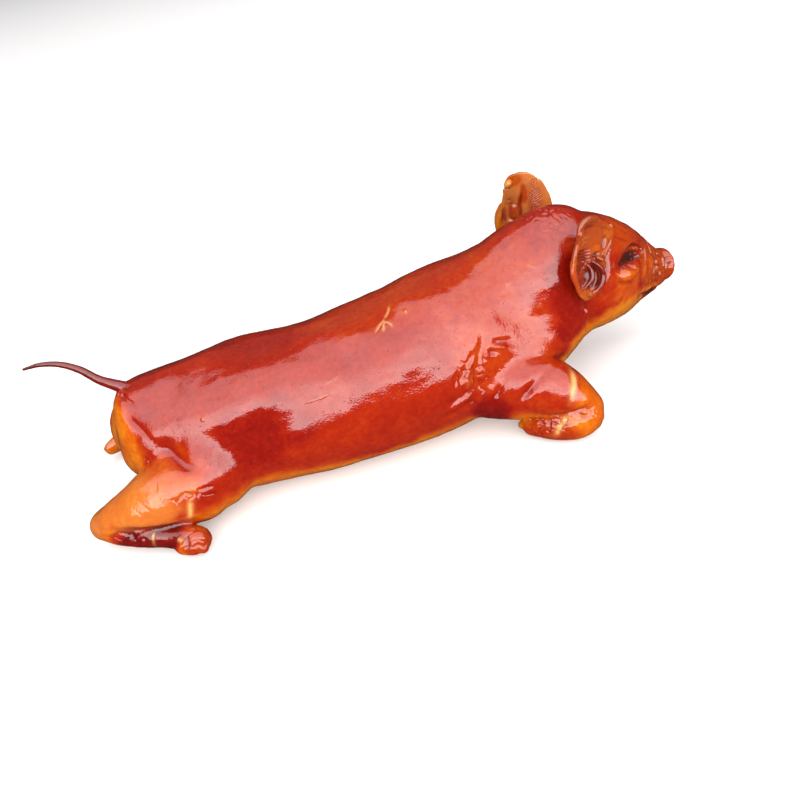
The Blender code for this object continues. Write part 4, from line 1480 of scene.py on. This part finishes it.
def tail_tree(material):
    tree = new_tree("tail_along_line", TAIL_SIZES)
    given = put(tree, "NodeGroupInput")
    girth = put(tree, "GeometryNodeInputNamedAttribute", {"data_type": "FLOAT"}, Name="girth")
    line = put(tree, "GeometryNodeMeshToCurve", Mesh=given.outputs["Geometry"])
    ring = put(tree, "GeometryNodeCurvePrimitiveCircle", Resolution=given.outputs["Sides"], Radius=1.0)
    swept = put(tree, "GeometryNodeCurveToMesh", Curve=line.outputs["Curve"],
                Profile_Curve=ring.outputs["Curve"], Scale=girth.outputs["Attribute"], Fill_Caps=True)
    rough = put(tree, "ShaderNodeTexNoise", {"noise_dimensions": "4D"},
                Scale=given.outputs["Wrinkles per Metre"], W=given.outputs["Seed"])
    centred = reckoned(tree, "SUBTRACT", rough.outputs[0], 0.5)
    height = reckoned(tree, "MULTIPLY", centred, given.outputs["Wrinkle Height"])
    outward = put(tree, "GeometryNodeInputNormal").outputs[0]
    push = put(tree, "ShaderNodeVectorMath", {"operation": "SCALE"}, Vector=outward, Scale=height)
    moved = put(tree, "GeometryNodeSetPosition", Geometry=swept.outputs["Mesh"], Offset=push.outputs[0])
    close_tree(tree, moved.outputs["Geometry"], material)
    return tree


# %% [markdown]
# ## The glaze
#
# One recipe makes all the skin. A ramp turns the tone into colour, from deep red to gold, with
# two layers of noise so that no patch is flat. Pale and char are mixed over it. The gloss has
# two parts, as on lacquer: the skin's own soft sheen, and a clear coat over it that mirrors the
# softboxes sharply. Fine bumps of about a millimetre, the pores, break the edge of that mirror
# image into grains. Values that are the same all over are set on the shader itself.

# %% The glaze's recipe
GLAZE_RAMP = (
    (0.00, (0.092, 0.0009, 0.0004)),
    (0.22, (0.192, 0.0036, 0.0004)),
    (0.42, (0.272, 0.0122, 0.0004)),
    (0.65, (0.350, 0.0370, 0.0005)),
    (0.85, (0.430, 0.0760, 0.0007)),
    (1.00, (0.490, 0.1450, 0.0020)),
)
# Pale is in a few places a painted highlight, and char in deep slits and creases painted shade.
PALE_COLOUR = (0.62, 0.36, 0.11, 1.0)
CHAR_AND_SHADE_COLOUR = (0.034, 0.009, 0.005, 1.0)
# Lumps per metre, how much the tone changes, and the noise's detail.
MOTTLES = (
    (45.0, 0.07, 3.0),
    (260.0, 0.06, 2.0),
)
PORES_PER_METRE = 650.0
PORE_HEIGHT = 0.00014
FINE_PORES_PER_METRE = 1700.0
FINE_PORE_HEIGHT = 0.000025
# The same all over: a soft sheen under a sharp clear coat.
GLOSS = {"Roughness": 0.42, "Specular IOR Level": 0.04, "Coat Weight": 1.0, "Coat Roughness": 0.045,
         "Coat IOR": 1.58}


def glaze_ramp(tree, tone):
    ramp = put(tree, "ShaderNodeValToRGB", Fac=tone)
    stops = ramp.color_ramp.elements
    while len(stops) < len(GLAZE_RAMP):
        stops.new(0.5)
    for stop, (position, colour) in zip(stops, GLAZE_RAMP):
        stop.position = position
        stop.color = (*colour, 1.0)
    return ramp.outputs["Color"]


def over(tree, below, above, cover):
    return put(tree, "ShaderNodeMixRGB", Fac=cover, Color1=below, Color2=above).outputs["Color"]


def bumps(tree, place, per_metre, height, **below):
    """The normal after bumps of the given height, on top of the normal below, if one is given."""
    lumps = put(tree, "ShaderNodeTexNoise", Vector=place, Scale=per_metre, Detail=1.0)
    bump = put(tree, "ShaderNodeBump", Height=lumps.outputs["Fac"], Distance=height, **below)
    return bump.outputs["Normal"]


def glaze(name, pores=1.0):
    material = bpy.data.materials.new(name)
    material.use_nodes = True
    tree = material.node_tree
    shader = tree.nodes["Principled BSDF"]
    place = put(tree, "ShaderNodeTexCoord").outputs["Object"]
    tone, pale, char = (put(tree, "ShaderNodeAttribute", {"attribute_name": key}).outputs["Fac"]
                        for key in PLAIN_PAINT)
    for scale, amount, detail in MOTTLES:
        tone = reckoned(tree, "ADD", tone, clouds(tree, place, scale, -amount, amount, Detail=detail))
    colour = over(tree, glaze_ramp(tree, tone), PALE_COLOUR, pale)
    colour = over(tree, colour, CHAR_AND_SHADE_COLOUR, char)
    coarse = bumps(tree, place, PORES_PER_METRE, PORE_HEIGHT * pores)
    fine = bumps(tree, place, FINE_PORES_PER_METRE, FINE_PORE_HEIGHT * pores, Normal=coarse)
    for label, socket in (("Base Color", colour), ("Normal", fine), ("Coat Normal", fine)):
        tree.links.new(socket, shader.inputs[label])
    for label, value in GLOSS.items():
        shader.inputs[label].default_value = value
    return material


skin_glaze = glaze("glazed_skin_finish")
ear_glaze = glaze("dried_ear_finish", pores=1.3)
for piece, finish in ((roasted_skin, skin_glaze), (right_ear, ear_glaze), (left_ear, ear_glaze)):
    piece.data.materials.clear()
    piece.data.materials.append(finish)
print("materials:", [material.name for material in bpy.data.materials])

# %% The tail, grown
TAIL_TONES = (0.22, 0.12)
TAIL_CHAR = (0.12, 0.65)


def tail_line():
    run = eased(metres(TAIL), TAIL_STEPS)
    mesh = bpy.data.meshes.new("tail_line")
    mesh.from_pydata([tuple(Vector(row[:3]) - ORIGIN) for row in run],
                     [(i, i + 1) for i in range(len(run) - 1)], [])
    share = np.linspace(0, 1, len(run))
    values = {"girth": run[:, 3], "tone": np.interp(share, (0, 1), TAIL_TONES),
              "char": np.interp(share, (0, 1), TAIL_CHAR), "pale": np.zeros(len(run))}
    for key, numbers in values.items():
        mesh.attributes.new(key, "FLOAT", "POINT").data.foreach_set("value", numbers)
    return mesh


tail_glaze = glaze("dried_tail_finish", pores=1.2)
tail = as_piece(grown(tail_line(), tail_tree(tail_glaze), TAIL_SIZES), "tail")
print("the tail has", len(tail.data.polygons), "faces")

# %% [markdown]
# ## Pores
#
# Where bristles were singed away, the skin is dotted with tiny raised pores, and each one catches
# a glint. There are thousands, so Geometry Nodes scatter them over the skin from a fixed seed:
# points on the faces, a ball of twenty faces on each point, pressed flat and turned to the skin.
# The painted values travel from the skin to the pores, so each pore has its own place's colour.

# %% The pores' tree
PORE_SIZES = {"Pores per Square Metre": 24000.0, "Pore Radius": 0.00042, "Flatness": 0.42, "Seed": 17}
PORE_SCALES = (0.55, 1.25)


def pore_tree(material):
    tree = new_tree("pores_on_skin", PORE_SIZES)
    given = put(tree, "NodeGroupInput")
    spots = put(tree, "GeometryNodeDistributePointsOnFaces", Mesh=given.outputs["Geometry"],
                Density=given.outputs["Pores per Square Metre"], Seed=given.outputs["Seed"])
    ball = put(tree, "GeometryNodeMeshIcoSphere", Radius=given.outputs["Pore Radius"], Subdivisions=1)
    rounded = put(tree, "GeometryNodeSetShadeSmooth", Geometry=ball.outputs["Mesh"])
    size = put(tree, "FunctionNodeRandomValue", {"data_type": "FLOAT"}, Seed=given.outputs["Seed"])
    size.inputs[2].default_value, size.inputs[3].default_value = PORE_SCALES
    flat = put(tree, "ShaderNodeCombineXYZ", X=1.0, Y=1.0, Z=given.outputs["Flatness"])
    scale = put(tree, "ShaderNodeVectorMath", {"operation": "SCALE"}, Vector=flat.outputs["Vector"],
                Scale=size.outputs[1])
    placed = put(tree, "GeometryNodeInstanceOnPoints", Points=spots.outputs["Points"],
                 Instance=rounded.outputs["Geometry"], Rotation=spots.outputs["Rotation"],
                 Scale=scale.outputs["Vector"])
    close_tree(tree, placed.outputs["Instances"], material)
    return tree


pores = as_piece(grown(roasted_skin.data.copy(), pore_tree(skin_glaze), PORE_SIZES), "pores")
print("the pores have", len(pores.data.polygons), "faces")

# %% [markdown]
# ## Handing the pieces over
#
# Every piece rides on the one body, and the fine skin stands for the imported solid, which is
# then hidden. Last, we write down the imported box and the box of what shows, so that the two can
# be compared.

# %% Riding, replacing and finishing
PIECES = (roasted_skin, right_ear, left_ear, tail, pores)
for piece in PIECES:
    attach(piece, BODY)
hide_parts(NODE)
for piece in PIECES:
    print(piece.name, len(piece.data.polygons), "faces")


def plain(box):
    return [[float(value) for value in corner] for corner in box]


{"cad": plain(cad_box), "visual": plain(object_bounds())}
